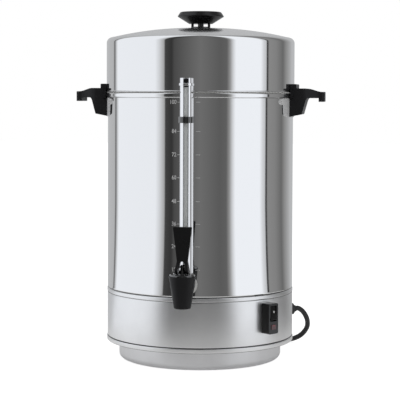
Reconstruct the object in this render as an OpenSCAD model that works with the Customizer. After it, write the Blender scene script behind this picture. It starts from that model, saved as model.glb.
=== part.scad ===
// Percolator coffee urn. The table is z = 0, the urn's axis is Z, and the faucet points along -Y.
// Azimuths are measured about the axis from the faucet (0) towards the right-hand handle (90).

/* [Tank] */
// Outside diameter of the tank wall
tank_d = 269.4; // [262:0.1:276]
// Thickness of the tank wall
tank_wall = 1.5; // [1.2:0.1:1.8]
// Height of the seam between base and tank above the table
seam_z = 103.5; // [98:0.5:112]
// Height of the tank wall from the seam to the bead at its rim
tank_h = 274.9; // [240:0.5:300]
// Height of the bead around the rim
bead_h = 6.8; // [5.5:0.1:8]
// How far the bead stands out from the wall
bead_out = 3.5; // [3:0.1:4]
// Radius of the bead's rounded edges
bead_round = 2; // [1.2:0.1:2.4]
// Thickness of the tank floor
floor_t = 2; // [1.5:0.1:2.5]
// Height of the floor's underside above the seam
floor_rise = 2.5; // [1.5:0.5:4]
// Inside radius where the floor meets the wall
floor_round = 3; // [2:0.5:3.5]
// Inside diameter of the pump well in the middle of the floor
well_d = 46; // [42:0.5:50]
// Depth of the pump well below the floor
well_depth = 19; // [15:0.5:22]
// Diameter of the stud under the well
stud_d = 8; // [6:0.5:10]

/* [Base] */
// How far the base skirt stands out from the tank wall
skirt_over = 0.3; // [0:0.1:3.8]
// Thickness of the skirt's wall and ledges
skirt_wall = 1.4; // [1.2:0.1:1.8]
// Height of the skirt's lower edge above the table
skirt_z = 26.9; // [22:0.1:32]
// Width of the ledge that the tank stands on, and of the lip at the bottom
ledge_w = 10; // [8:0.5:13]
// Height of the rolled band along the lower edge
band_h = 6.5; // [4:0.5:9]
// How far the rolled band stands out
band_out = 0.7; // [0.4:0.1:1.2]
// Height of the stepped bead under the seam
step_h = 5.2; // [4:0.2:7]
// How far the stepped bead stands out
step_out = 0.35; // [0.2:0.05:0.6]
// Distance of the foot pan's wall in from the skirt's outside
pan_inset = 17.2; // [15:0.1:22]
// Thickness of the foot pan's sheet
pan_wall = 1.2; // [1:0.1:1.6]
// Radius of the foot pan's bottom corner
pan_round = 8; // [6:0.5:14]
// Diameter of the three tie posts between pan and tank
post_d = 10; // [8:0.5:12]
// Distance of the tie posts' axes in from the foot pan's outside
post_inset = 17.8; // [14:0.1:20]
// Diameter of the pan screws
pan_screw_d = 5; // [4:0.5:6]
// Depth of the dimples that hide the pan screws' heads
dimple_h = 5; // [4.5:0.5:7]
// Diameter of the vent holes in the pan
vent_d = 8; // [5:0.5:10]

/* [Lid] */
// How far the lid's skirt stands out from the tank wall
lid_over = 1.8; // [0.3:0.1:1.8]
// Thickness of the lid's sheet
lid_wall = 1.2; // [1:0.1:1.5]
// Height of the lid's skirt, from its flange to the top of its corner
lid_h = 78.5; // [76:0.2:95]
// Radius of the lid's corner
lid_corner = 8; // [4:0.5:9]
// Rise of the lid's dome above its corner
lid_crown = 13.7; // [8:0.2:16]
// Thickness of the seal ring under the lid
seal_t = 1; // [0.8:0.1:1.4]
// Extra angle of the lid's notches on each side of a handle
notch_spare = 1.3; // [1:0.1:2]

/* [Knob] */
// Widest diameter of the lid knob
knob_d = 67; // [56:0.5:76]
// Diameter of the knob's flat top
knob_top_d = 59.6; // [50:0.5:64]
// Height of the open neck under the knob
neck_h = 6.8; // [5:0.2:10]
// Outside diameter of the neck
neck_d = 28.2; // [26:0.2:32]
// Height of the knob's conical underside
cone_h = 10.8; // [8:0.2:14]
// Height of the knob's bevel above its widest edge
bevel_h = 6.2; // [4:0.2:8]
// Diameter of the neck's four posts
neck_post_d = 3.8; // [3:0.1:4.5]
// Turn of the neck's posts about the knob's axis
neck_turn = 8; // [0:1:45]
// Diameter of the knob screw
knob_screw_d = 4.2; // [3:0.1:5]

/* [Handles] */
// Width of a handle across its block
handle_w = 66.8; // [60:0.2:72]
// Reach of a handle's tip from the tank wall
handle_reach = 46.6; // [40:0.2:55]
// Width of a handle's tip
tip_w = 38; // [30:0.5:46]
// Thickness of the lip that turns down at the tip
lip_t = 8.6; // [6:0.2:11]
// Depth of the lip below the rim
lip_drop = 12.2; // [11:0.2:17]
// Depth of the wing's underside below the rim
wing_drop = 7; // [6:0.2:9]
// Height of the wing's crest above the rim
wing_rise = 6.8; // [4.6:0.2:7]
// Height of the wing's tip above the rim
tip_rise = 2; // [-1:0.1:3]
// Height of the lug that hooks over the lid, above the rim
lug_rise = 13; // [8:0.2:14]
// Reach of the lug from the tank wall
lug_reach = 7; // [5:0.1:8]
// Reach of the block's top from the tank wall
block_reach = 21.4; // [16:0.2:22]
// Reach of the block's bottom from the tank wall
block_foot = 14.6; // [11:0.2:16]
// Depth of the block's bottom below the rim
block_drop = 34.3; // [30:0.2:38]
// How much higher the block's outer bottom edge is
block_rise = 4; // [0:0.5:6]
// Angle from the handle's middle to the end of its hook
hook_angle = 15.9; // [15.7:0.1:18]
// Thickness of the hook outside the bead
hook_t = 3.6; // [3:0.1:4.5]
// Thickness of the bracket plates
bracket_t = 1.3; // [1:0.1:1.6]
// Half the width of a bracket plate
bracket_half = 49.5; // [44:0.5:54]
// Angle from a bracket's middle to its rivets
rivet_angle = 25; // [24:0.5:27]
// Diameter of the rivets and of the handle screws
rivet_d = 4; // [3:0.1:4.5]

/* [Gauge] */
// Distance of the gauge's axis from the tank wall
gauge_reach = 15.3; // [14.5:0.1:17]
// Outside diameter of the chrome guard
guard_d = 16.6; // [16:0.1:17.4]
// Thickness of the guard's wall
guard_wall = 1.2; // [0.9:0.1:1.3]
// Width of the slot in the guard
slot_w = 7.5; // [5:0.1:9]
// Turn of the slot about the guard's axis
slot_turn = 7; // [-15:1:15]
// Height of the guard's top above the tank's rim
guard_rise = 20; // [16:0.2:26]
// Outside diameter of the glass tube
glass_d = 12.5; // [11.6:0.1:12.8]
// Thickness of the glass
glass_wall = 1.5; // [1:0.1:1.8]
// Height of the black plug in the gauge's top
plug_h = 11.4; // [9:0.2:13]
// Outside diameter of the collar below the top
collar_d = 19.4; // [18.6:0.1:20]
// Height of the collar
collar_h = 3.6; // [2.6:0.1:5]
// Height of the collar's middle above the tank's rim
collar_rise = 11.3; // [9:0.1:13]
// Outside diameter of the clip that holds the guard
clip_d = 20; // [19:0.1:21]
// Height of the clip
clip_h = 8.5; // [6:0.1:11]
// Depth of the clip's middle below the tank's rim
clip_drop = 36.6; // [25:0.1:60]

/* [Faucet] */
// Distance of the faucet's axis from the tank wall
faucet_reach = 45.3; // [43:0.1:50]
// Height of the spout's end below the seam
spout_drop = 7; // [4:0.5:12]
// Height of the conical faucet body
faucet_h = 43.5; // [42:0.5:48]
// Diameter of the faucet body at its top
faucet_top_d = 36.8; // [35.6:0.2:38]
// Diameter of the faucet body at the spout
spout_d = 23.3; // [21.6:0.1:25]
// Diameter of the outlet
outlet_d = 13; // [10:0.2:14]
// Height of the seat above the spout's end
seat_rise = 15.5; // [14:0.5:17]
// Outside diameter of the shank
shank_d = 18; // [16.4:0.2:19]
// Diameter of the shank's bore
shank_bore = 11; // [8:0.2:12]
// Height of the shank's axis above the seam
shank_rise = 18.5; // [17:0.5:20]
// Diameter of the threaded end
thread_d = 16; // [14:0.2:17]
// Diameter of the shank's flange
flange_d = 22; // [21:0.5:32]
// Thickness of the faucet's gaskets
gasket_t = 2.3; // [1.8:0.1:3]
// Height of the lever's top above the faucet body
lever_h = 66; // [55:0.5:80]
// Width of the lever's top
lever_top_w = 25.2; // [20:0.2:30]
// Width of the lever's waist
lever_waist_w = 14.4; // [13.4:0.2:17]
// Width of the lever's fork at its foot
lever_foot_w = 19; // [17:0.2:22]
// Width of the gap in the lever's fork at its foot
fork_gap = 12.4; // [12:0.2:13.4]
// Width of the gap in the lever's fork at its crotch
crotch_gap = 5.2; // [5:0.2:8]
// Height of the pin above the foot's flat
cam_h = 8; // [7:0.1:9]
// How far the lever lifts the stem
stem_lift = 4; // [2.5:0.1:4.5]
// How far the lever tilts
lever_tilt = 50; // [40:1:55]
// Diameter of the stem
stem_d = 6; // [5.2:0.1:6.6]
// Diameter of the lever's pin
pin_d = 3; // [2:0.1:3.4]
// Diameter of the silicone seat cup
cup_d = 17; // [15:0.2:19]
// Diameter of the spring's wire
spring_wire = 1; // [0.6:0.1:1.2]

/* [Switch] */
// Azimuth of the switch housing
switch_az = 51; // [44:1:58]
// Height of the housing's middle above the table
switch_z = 71.7; // [70:0.1:76]
// Width of the housing
switch_w = 18.6; // [18:0.1:21]
// Height of the housing
switch_h = 42.4; // [41:0.2:46]
// Depth of the housing outside the skirt
switch_reach = 13.8; // [12.5:0.1:17]
// Thickness of the housing's walls
switch_wall = 1.6; // [1.3:0.1:1.7]
// Width of the rocker
rocker_w = 12; // [11:0.1:12.2]
// Length of the rocker
rocker_l = 19.2; // [17:0.1:20]
// Angle between the rocker's two positions
rocker_swing = 20; // [12:1:24]
// Height of the rocker's pivot above the housing's middle
rocker_rise = 7.2; // [6:0.1:8]
// Diameter of the rocker's pivots
rocker_pin_d = 3; // [2:0.1:3.4]
// Width of the red lamp lens
lamp_w = 9; // [6:0.1:11]
// Height of the red lamp lens
lamp_h = 6.6; // [4:0.1:8]
// Height of the lens's middle below the housing's middle
lamp_drop = 11.6; // [10.6:0.1:13]

/* [Cord] */
// Diameter of the mains cord
cord_d = 7.5; // [6:0.1:8.4]
// Azimuth where the cord leaves the skirt
relief_az = 122; // [115:1:130]
// Height of the strain relief above the table
relief_z = 60; // [52:1:70]
// Length of the strain relief outside the skirt
relief_l = 24; // [20:1:40]
// Diameter of the strain relief at the skirt
relief_d = 19.2; // [16:0.2:22]
// Diameter of the plug
plug_d = 27; // [24:0.5:30]
// Length of the plug's body
plug_l = 30; // [24:1:36]

/* [Percolator] */
// Outside diameter of the pump tube
tube_d = 9.5; // [8:0.1:11]
// Thickness of the pump tube's wall
tube_wall = 1; // [0.6:0.1:1.4]
// Diameter of the pump's bell foot
bell_d = 40; // [36:0.5:41]
// Height of the valve's seat plate above the well's floor
plate_rise = 14; // [12:0.5:16]
// Travel of the valve disc
valve_lift = 2.5; // [1.5:0.1:3]
// Diameter of the coffee basket
basket_d = 200; // [170:1:215]
// Height of the coffee basket
basket_h = 60; // [48:1:62]
// Thickness of the basket's sheet
basket_wall = 0.9; // [0.7:0.1:1.2]
// Depth of the basket's floor below the tank's rim
basket_drop = 8.7; // [6.7:0.1:26]
// Diameter of the strainer holes
hole_d = 3; // [2:0.1:4]

/* [Heating] */
// Diameter of the pump heater around the well
heater_d = 82; // [76:1:90]
// Height of the pump heater
heater_h = 16; // [12:0.5:18]
// Gap between the keep-warm ring and the tie posts
warm_gap = 11; // [7:0.5:17]
// Width of the keep-warm ring
warm_w = 8; // [6:0.5:10]
// Height of the keep-warm ring
warm_h = 5.5; // [4:0.5:7]
// Diameter of the brew thermostat
thermostat_d = 18; // [14:0.5:22]
// Height of the terminal block
block_h = 16; // [12:0.5:20]

/* [Hidden] */
$fn = 96;
// Clearances: a slack fit, a running fit, the gap where a moving piece rests, and a seating gap
slack = 0.2;
run_fit = 0.08;
rest_gap = 0.25;
seat_gap = 0.05;
// Overlap that joins two solids of one piece, and how far a cutter passes a face
weld = 0.5;
past = 1;

tank_r = tank_d / 2;
tank_in_r = tank_r - tank_wall;
bead_z = seam_z + tank_h;
rim_z = bead_z + bead_h;
bead_r = tank_r + bead_out;
floor_under = seam_z + floor_rise;
floor_z = floor_under + floor_t;
well_r = well_d / 2;
well_out_r = well_r + floor_t;
well_z = floor_z - well_depth;
well_under = well_z - floor_t;
stud_l = 16;

skirt_r = tank_r + skirt_over;
skirt_in_r = skirt_r - skirt_wall;
flange_z = skirt_z + skirt_wall;
pan_r = skirt_r - pan_inset;
POST_AZ = [80, 200, 320];
post_reach = pan_r - post_inset;
dimple_r = pan_screw_d + 2;
pan_floor_r = post_reach - dimple_r - 6;
post_z = dimple_h + pan_wall;
pan_screw_l = 12;
pan_head_h = 3;

lid_r = tank_r + lid_over;
lid_z = rim_z + rest_gap + seal_t + rest_gap;
lid_flange_z = lid_z + lid_wall;
lid_corner_z = lid_z + lid_h;
lid_top_z = lid_corner_z + lid_crown;
notch_angle = hook_angle + notch_spare;
knob_z = lid_top_z + seat_gap;
knob_seat_r = neck_d / 2 + 3;
neck_ring_h = 2.2;
knob_boss_d = knob_screw_d + 4.2;
knob_screw_l = neck_h + cone_h - 3;

bracket_in_r = tank_r + seat_gap;
bracket_r = bracket_in_r + bracket_t;
bracket_top = bead_z - 0.6;
bracket_z = rim_z - block_drop;
lid_lift_gap = 0.5;
screw_az = 7;
handle_screw_z = rim_z - 23;
handle_screw_l = 15;
rivet_z = rim_z - 12.2;

gauge_r = tank_r + gauge_reach;
guard_r = guard_d / 2;
glass_r = glass_d / 2;
boss_r = guard_r + 1.2;
shank_z = seam_z + shank_rise;
boss_top = shank_z + 15;
glass_z = shank_z + 6.5;
glass_seat_r = glass_r + 1.1;
guard_top = rim_z + guard_rise;
plug_top = guard_top - 0.8;
glass_top = plug_top - plug_h - seat_gap;
clip_z = rim_z - clip_drop;
collar_z = rim_z + collar_rise;

faucet_r = tank_r + faucet_reach;
spout_z = seam_z - spout_drop;
faucet_top = spout_z + faucet_h;
seat_z = spout_z + seat_rise;
chamber_r = 11.9;
bonnet_r = 13.8;
bonnet_z = faucet_top - 9.7;
bonnet_cap_h = 4;
bonnet_hub_r = 11.6;
bonnet_neck_r = fork_gap / 2 - 1;
pocket_r = 7;
pocket_z = faucet_top - 2;
stem_r = stem_d / 2;
pin_z = faucet_top + bonnet_cap_h + rest_gap + cam_h;
collar_under = shank_z - 2;
spring_foot = shank_z - 0.6;
flange_x = tank_r + gasket_t;
cam_rate = stem_lift / (lever_tilt * PI / 180);
fork_h = 7.4;

housing_x = skirt_r + switch_reach;
rocker_x = housing_x - 4.4;
rocker_z = switch_z + rocker_rise;
module_x = rocker_x - 4.7;
module_w = 12.6;
module_back = 16;
switch_tab_l = 7;
switch_tab_x = skirt_in_r - module_back - switch_tab_l;
switch_tab_step = 9;
ear_t = 1;

relief_x = skirt_r + relief_l;
relief_tip_r = relief_x + seat_gap;
relief_tip = [relief_tip_r * sin(relief_az), -relief_tip_r * cos(relief_az), relief_z];
relief_nose_d = cord_d + 5;
relief_nose_l = 5;

tube_r = tube_d / 2;
foot_z = well_z + rest_gap;
plate_z = well_z + plate_rise;
valve_t = 0.9;
roof_t = 1.4;
chamber_top = plate_z + valve_t + valve_lift + 2 * rest_gap + roof_t;
basket_z = rim_z - basket_drop;
basket_r = basket_d / 2;
basket_top = basket_z + basket_h;
cover_z = basket_top + rest_gap;
hub_h = 10;
stop_h = 3;
stop_w = 7;
tube_top = cover_z + hub_h + 4;

// The free cord: points of its centre line, laid on the table and on into the coil
cord_r = cord_d / 2;
CORD = [
    [139, 86.9, 60], [145, 95, 54.5], [149.5, 102.5, 46], [151.5, 110, 37.5], [151, 117, 28.5],
    [147, 123, 20], [140.5, 128.5, 12.5], [132, 133.5, 7], [122.5, 138, cord_r], [111, 142, cord_r],
    [99, 148, cord_r], [88, 156, cord_r], [78, 166.5, cord_r], [70.5, 178.5, cord_r],
    [66.3, 191.5, cord_r], [65, 205, cord_r]
];
coil_at = [20, 205];
coil_r = 5.5 * cord_d;
TAIL = [[-16, 231, 11], [-25, 219, 10], [-34, 207, 10], [-42, 196, 12], [-50, 185, plug_d / 2]];
plug_heading = 234;

aluminium = "#c9cbce";
satin = "#b4b6b8";
black = "#1c1c1d";
chrome = "#d9dde0";
steel = "#9a9da1";
silicone = "#b9bcbd";

// Points of a circular arc about c, from angle a0 to a1 in n steps.
function arc(c, r, a0, a1, n = 6) =
    [for (i = [0:n]) c + r * [cos(a0 + (a1 - a0) * i / n), sin(a0 + (a1 - a0) * i / n)]];

// Outline of a rectangle w by h with corners of radius r, about the origin.
function round_rect(w, h, r) = concat(
    arc([w / 2 - r, h / 2 - r], r, 0, 90), arc([r - w / 2, h / 2 - r], r, 90, 180),
    arc([r - w / 2, r - h / 2], r, 180, 270), arc([w / 2 - r, r - h / 2], r, 270, 360));

// Smooth step from a to b as t goes from 0 to 1.
function ease(a, b, t) = a + (b - a) * (0.5 - 0.5 * cos(180 * min(max(t, 0), 1)));

function unit(v) = v / norm(v);
function heading(p, i) = unit(p[min(i + 1, len(p) - 1)] - p[max(i - 1, 0)]);
// Heading and carried normal at each point of a path, so that a swept tube doesn't twist.
function frames(p, n, i = 0) = i == len(p) ? [] :
    let (t = heading(p, i), m = unit(n - (n * t) * t)) concat([[t, m]], frames(p, m, i + 1));

// A tube of radius r along a path; n is any direction across its start.
module tube(path, r, n, sides = 8) {
    f = frames(path, n);
    last = (len(path) - 1) * sides;
    polyhedron(
        [for (i = [0:len(path) - 1]) for (j = [0:sides - 1])
            path[i] + r * (cos(360 * j / sides) * f[i][1] + sin(360 * j / sides) * cross(f[i][0], f[i][1]))],
        concat([[for (j = [0:sides - 1]) j]], [[for (j = [sides - 1:-1:0]) last + j]],
            [for (i = [0:len(path) - 2]) for (j = [0:sides - 1]) let (k = (j + 1) % sides)
                [i * sides + j, (i + 1) * sides + j, (i + 1) * sides + k, i * sides + k]]));
}

// A turned shape from its (radius, height) outline.
module spin(outline) rotate_extrude() polygon(outline);

// Puts children, drawn with +X outwards and +Y to the right, at an azimuth about the axis.
module at_az(az) rotate([0, 0, az - 90]) children();

// A round bar along X between two distances from the axis.
module bar_x(r, x0, x1, z = 0, y = 0) translate([x0, y, z]) rotate([0, 90, 0]) cylinder(r = r, h = x1 - x0);

// An outline in Y and Z, extruded along X.
module slab_x(outline, x0, x1, z = 0) translate([x0, 0, z]) rotate([90, 0, 90])
    linear_extrude(x1 - x0) polygon(outline);

// An outline in X and Z, extruded along Y to both sides.
module slab_y(outline, w) translate([0, w / 2, 0]) rotate([90, 0, 0]) linear_extrude(w) polygon(outline);

// A tank-shaped cutter that fits a piece to a wall of radius r.
module drum(r, z0, z1) translate([0, 0, z0]) cylinder(r = r, h = z1 - z0);

module ring(r0, r1, h) difference() {
    cylinder(r = r1, h = h);
    translate([0, 0, -past]) cylinder(r = r0, h = h + 2 * past);
}

// ---------------------------------------------------------------- tank and base

// The tank's wall, with its beaded rim and the thick foot that carries the floor
module tank() color(aluminium) difference() {
    spin(concat(
        [[tank_r, seam_z], [tank_r, bead_z]],
        arc([bead_r - bead_round, bead_z + bead_round], bead_round, -90, 0),
        arc([bead_r - bead_round, rim_z - bead_round], bead_round, 0, 90),
        [[tank_in_r, rim_z], [tank_in_r, floor_under - seat_gap],
            [tank_r - 2 * tank_wall, floor_under - seat_gap], [tank_r - 2 * tank_wall, seam_z]]));
    at_az(0) {
        bar_x(thread_d / 2 + slack, tank_in_r - 10, tank_r + past, shank_z);
        bar_x(rivet_d / 2 + slack, tank_in_r - 10, tank_r + past, clip_z);
    }
    for (side = [90, 270]) at_az(side) {
        for (a = [-rivet_angle, rivet_angle]) rotate([0, 0, a])
            bar_x(rivet_d / 2 + slack, tank_in_r - 10, tank_r + past, rivet_z);
        for (a = [-screw_az, screw_az]) rotate([0, 0, a])
            bar_x(rivet_d / 2 + slack, tank_in_r - 10, tank_r + past, handle_screw_z);
    }
}

// The tank's floor, with the pump well and its stud
module tank_floor() color(aluminium) {
    edge = tank_in_r - seat_gap;
    lip = 0.5;
    spin(concat(
        [[edge, floor_under], [edge, floor_z + floor_round]],
        arc([edge - lip - floor_round, floor_z + floor_round], floor_round, 0, -90),
        arc([well_r + floor_t, floor_z - floor_t], floor_t, 90, 180, 3),
        [[well_r, well_z], [0, well_z], [0, well_under], [well_out_r, well_under],
            [well_out_r, floor_under]]));
    translate([0, 0, well_under - stud_l]) cylinder(d = stud_d, h = stud_l + weld);
}

module base_skirt() color(satin) difference() {
    groove = 1.4;
    groove_in = 0.8;
    spin(concat(
        [[skirt_r - ledge_w, skirt_z]],
        arc([skirt_r + band_out - 1.5, skirt_z + 1.5], 1.5, -90, 0, 4),
        arc([skirt_r + band_out - 1, skirt_z + band_h - 1], 1, 0, 90, 3),
        [[skirt_r - groove_in, skirt_z + band_h], [skirt_r - groove_in, skirt_z + band_h + groove],
            [skirt_r, skirt_z + band_h + groove], [skirt_r, seam_z - step_h - groove],
            [skirt_r - groove_in / 2, seam_z - step_h - groove / 2], [skirt_r + step_out, seam_z - step_h]],
        arc([skirt_r + step_out - 1.2, seam_z - 1.2], 1.2, 0, 90, 4),
        [[skirt_r - ledge_w, seam_z], [skirt_r - ledge_w, seam_z - skirt_wall],
            [skirt_in_r, seam_z - skirt_wall], [skirt_in_r, flange_z], [skirt_r - ledge_w, flange_z]]));
    at_az(relief_az) bar_x(relief_d / 2 - 1.4, skirt_in_r - 10, skirt_r + past, relief_z);
    at_az(switch_az) slab_x(round_rect(module_w + 4 * slack, switch_h - 11, 1), skirt_in_r - 10,
        skirt_r + past, switch_z);
}

module base_pan() color(satin) difference() {
    union() {
        spin(concat(
            [[pan_floor_r, 0]], arc([pan_r - pan_round, pan_round], pan_round, -90, 0),
            [[pan_r, flange_z], [skirt_in_r - slack, flange_z], [skirt_in_r - slack, flange_z + pan_wall],
                [pan_r - pan_wall, flange_z + pan_wall]],
            arc([pan_r - pan_round, pan_round], pan_round - pan_wall, 0, -90), [[pan_floor_r, pan_wall]]));
        for (az = POST_AZ) at_az(az) translate([post_reach, 0, 0])
            cylinder(r = dimple_r + pan_wall, h = post_z);
    }
    for (az = POST_AZ) at_az(az) translate([post_reach, 0, -past]) {
        cylinder(r = dimple_r, h = dimple_h + past);
        cylinder(d = pan_screw_d + 2 * slack, h = post_z + 2 * past);
    }
}

// The middle of the pan's bottom, flush with the rest of it
module pan_floor() color(satin) difference() {
    cylinder(r = pan_floor_r, h = pan_wall);
    for (i = [0:7]) rotate([0, 0, 45 * i]) translate([pan_r / 2, 0, -past]) cylinder(d = vent_d, h = 6);
}

module tie_posts() color(steel) for (az = POST_AZ) at_az(az) translate([post_reach, 0, post_z]) difference() {
    cylinder(d = post_d, h = floor_under - post_z);
    translate([0, 0, -past]) cylinder(d = pan_screw_d + 2 * seat_gap, h = pan_screw_l + 2 + past);
}

module pan_screws() color(steel) for (az = POST_AZ) at_az(az) translate([post_reach, 0, 0]) difference() {
    union() {
        translate([0, 0, dimple_h - pan_head_h]) cylinder(d = 2 * pan_screw_d, h = pan_head_h);
        translate([0, 0, dimple_h - weld]) cylinder(d = pan_screw_d, h = pan_screw_l + weld);
    }
    translate([-pan_screw_d, -0.5, dimple_h - pan_head_h - past]) cube([2 * pan_screw_d, 1, 1.2 + past]);
}

// ---------------------------------------------------------------- lid

// Height of the dome's outer face at radius r: flat under the knob, then falling to the corner.
function dome_z(r) = lid_top_z
    - lid_crown * pow(max(r - knob_seat_r, 0) / (lid_r - lid_corner - knob_seat_r), 2);
DOME_STEPS = 12;
function dome(down, r1) = [for (i = [0:DOME_STEPS])
    let (r = r1 + (knob_seat_r - r1) * i / DOME_STEPS) [r, dome_z(r) - down]];

// The lid's dome and the corner round it
module lid_top() color(aluminium) difference() {
    rim = lid_r - lid_corner;
    spin(concat(
        arc([rim, lid_corner_z - lid_corner], lid_corner, 0, 80),
        dome(0, rim), [[0, lid_top_z], [0, lid_top_z - lid_wall]],
        [for (p = [DOME_STEPS:-1:0]) dome(lid_wall, rim)[p]],
        arc([rim, lid_corner_z - lid_corner], lid_corner - lid_wall, 80, 0)));
    translate([0, 0, lid_top_z - 5]) cylinder(d = knob_screw_d + 2 * slack, h = 10);
}

// The lid's skirt, with its flange and the flange's notches
module lid_shell() color(aluminium) difference() {
    skirt_top = lid_corner_z - lid_corner - seat_gap;
    spin([
        [lid_r - lid_wall, lid_z], [bead_r, lid_z], [bead_r, lid_flange_z], [lid_r, lid_flange_z],
        [lid_r, skirt_top], [lid_r - lid_wall, skirt_top]]);
    for (side = [0, 180]) rotate([0, 0, side]) intersection() {
        translate([0, 0, lid_z - past]) ring(lid_r + 0.2, bead_r + 5, lid_wall + 2 * past);
        wedge(notch_angle, lid_z - past, lid_wall + 2 * past);
    }
}

// A wedge of half angle a about +X.
module wedge(a, z, h) translate([0, 0, z]) linear_extrude(h)
    polygon([[0, 0], [200, -200 * tan(a)], [200, 200 * tan(a)]]);

module lid_seal() color(silicone) translate([0, 0, rim_z + rest_gap])
    ring(tank_in_r + 0.4, bead_r - bead_round, seal_t);

module lid_knob() color(black) translate([0, 0, knob_z]) difference() {
    neck_r = neck_d / 2;
    union() {
        cylinder(r = neck_r, h = neck_ring_h);
        cylinder(d = knob_boss_d, h = neck_h + weld);
        for (a = [0:90:270]) rotate([0, 0, a + neck_turn]) translate([neck_r - neck_post_d / 2 - slack, 0, 0])
            cylinder(d = neck_post_d, h = neck_h + weld);
        spin(concat(
            [[0, neck_h], [neck_r + 3.2, neck_h]],
            [[knob_d / 2, neck_h + cone_h - 0.6], [knob_d / 2, neck_h + cone_h + 0.4]],
            [[knob_top_d / 2, neck_h + cone_h + bevel_h - 0.4],
                [knob_top_d / 2 - 1, neck_h + cone_h + bevel_h],
                [knob_top_d / 4, neck_h + cone_h + bevel_h + 0.5], [0, neck_h + cone_h + bevel_h + 0.6]]));
    }
    translate([0, 0, -past]) cylinder(d = knob_screw_d + 2 * seat_gap, h = knob_screw_l + 2 + past);
}

module lid_knob_screw() color(steel) translate([0, 0, lid_top_z - lid_wall - 1]) difference() {
    union() {
        translate([0, 0, -3]) cylinder(d = 2 * knob_screw_d, h = 3);
        translate([0, 0, -weld]) cylinder(d = knob_screw_d, h = knob_screw_l + weld);
    }
    translate([-knob_screw_d, -0.5, -3 - past]) cube([2 * knob_screw_d, 1, 1.2 + past]);
}

module lid_knob_washer() color(steel) translate([0, 0, lid_top_z - lid_wall - 1])
    ring(knob_screw_d / 2 + slack, knob_screw_d + 2.4, 1);

// ---------------------------------------------------------------- handles

// One handle, drawn on the +X side.
module handle() {
    tip_x = tank_r + handle_reach;
    crest_x = tank_r + block_reach - 2;
    lug_x = tank_r + lug_reach;
    back_x = tank_r - 6;
    side_x = tank_r + block_reach - 8;
    steps = 8;
    difference() {
        union() {
            intersection() {
                slab_y(concat(
                    [[back_x, rim_z - block_drop], [tank_r + block_foot, rim_z - block_drop + block_rise],
                        [tank_r + block_reach - 0.8, rim_z - wing_drop - 2.6],
                        [tank_r + block_reach + 1.4, rim_z - wing_drop],
                        [tip_x - lip_t, rim_z - wing_drop], [tip_x - lip_t, rim_z - lip_drop]],
                    arc([tip_x - 1.2, rim_z - lip_drop + 1.2], 1.2, -90, 0, 3),
                    arc([tip_x - 1, rim_z + tip_rise - 1], 1, 0, 90, 3),
                    [for (i = [0:steps]) let (t = i / steps)
                        [tip_x - 4 + (crest_x - tip_x + 4) * t, rim_z + ease(tip_rise, wing_rise, t)]],
                    [[lug_x, rim_z + wing_rise]],
                    arc([lug_x - 1, rim_z + lug_rise - 1], 1, 0, 90, 3),
                    [[back_x, rim_z + lug_rise]]), handle_w + 2);
                translate([0, 0, rim_z - 60]) linear_extrude(90) polygon(concat(
                    [[back_x - past, -handle_w / 2], [side_x, -handle_w / 2]],
                    [for (i = [1:steps]) let (t = i / steps)
                        [side_x + (tip_x - 5 - side_x) * t, -ease(handle_w / 2, tip_w / 2, t)]],
                    arc([tip_x - 5, 5 - tip_w / 2], 5, -90, 0), arc([tip_x - 5, tip_w / 2 - 5], 5, 0, 90),
                    [for (i = [steps:-1:1]) let (t = i / steps)
                        [side_x + (tip_x - 5 - side_x) * t, ease(handle_w / 2, tip_w / 2, t)]],
                    [[side_x, handle_w / 2], [back_x - past, handle_w / 2]]));
            }
            intersection() {
                translate([0, 0, bracket_top])
                    ring(bead_r, bead_r + 0.4 + hook_t, lid_flange_z + 2 - bracket_top);
                wedge(hook_angle, bracket_top - past, 20);
            }
        }
        drum(bracket_r + seat_gap, rim_z - 70, bracket_top + past);
        drum(bead_r + 0.4, bracket_top, lid_flange_z + 0.4);
        drum(lid_r + lid_lift_gap, bracket_top, rim_z + 40);
        for (a = [-screw_az, screw_az]) rotate([0, 0, a])
            bar_x(rivet_d / 2 + seat_gap, tank_in_r - 10, tank_in_r + handle_screw_l, handle_screw_z);
    }
}

module handle_right() color(black) handle();
module handle_left() color(black) mirror([1, 0, 0]) handle();

// One bracket plate, drawn on the +X side: a curved plate with an ear at each side.
module bracket() difference() {
    intersection() {
        difference() {
            drum(bracket_r, bracket_z, bracket_top);
            drum(bracket_in_r, bracket_z - past, bracket_top + past);
        }
        ear_r = 4.5;
        ear = tank_r * sin(rivet_angle) + ear_r;
        low = rivet_z - ear_r;
        slab_x(concat(
            arc([bracket_half - 8, bracket_z + 8], 8, -90, -8), [[bracket_half + 1, low]],
            arc([ear - 4, rivet_z], ear_r, -90, 90), [[ear - 6, bracket_top], [6 - ear, bracket_top]],
            arc([4 - ear, rivet_z], ear_r, 90, 270), [[-bracket_half - 1, low]],
            arc([8 - bracket_half, bracket_z + 8], 8, 188, 270)), tank_r - 40, tank_r + 10);
    }
    for (a = [-rivet_angle, rivet_angle]) rotate([0, 0, a])
        bar_x(rivet_d / 2 + slack, tank_in_r - 10, tank_r + 10, rivet_z);
    for (a = [-screw_az, screw_az]) rotate([0, 0, a])
        bar_x(rivet_d / 2 + slack, tank_in_r - 10, tank_r + 10, handle_screw_z);
}

module handle_bracket_right() color(aluminium) bracket();
module handle_bracket_left() color(aluminium) mirror([1, 0, 0]) bracket();

module handle_screws() color(steel) for (side = [90, 270]) at_az(side) for (a = [-screw_az, screw_az])
    rotate([0, 0, a]) {
        bar_x(rivet_d, tank_in_r - slack - 2.5, tank_in_r - slack, handle_screw_z);
        bar_x(rivet_d / 2, tank_in_r - slack - weld, tank_in_r + handle_screw_l - past, handle_screw_z);
    }

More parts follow.
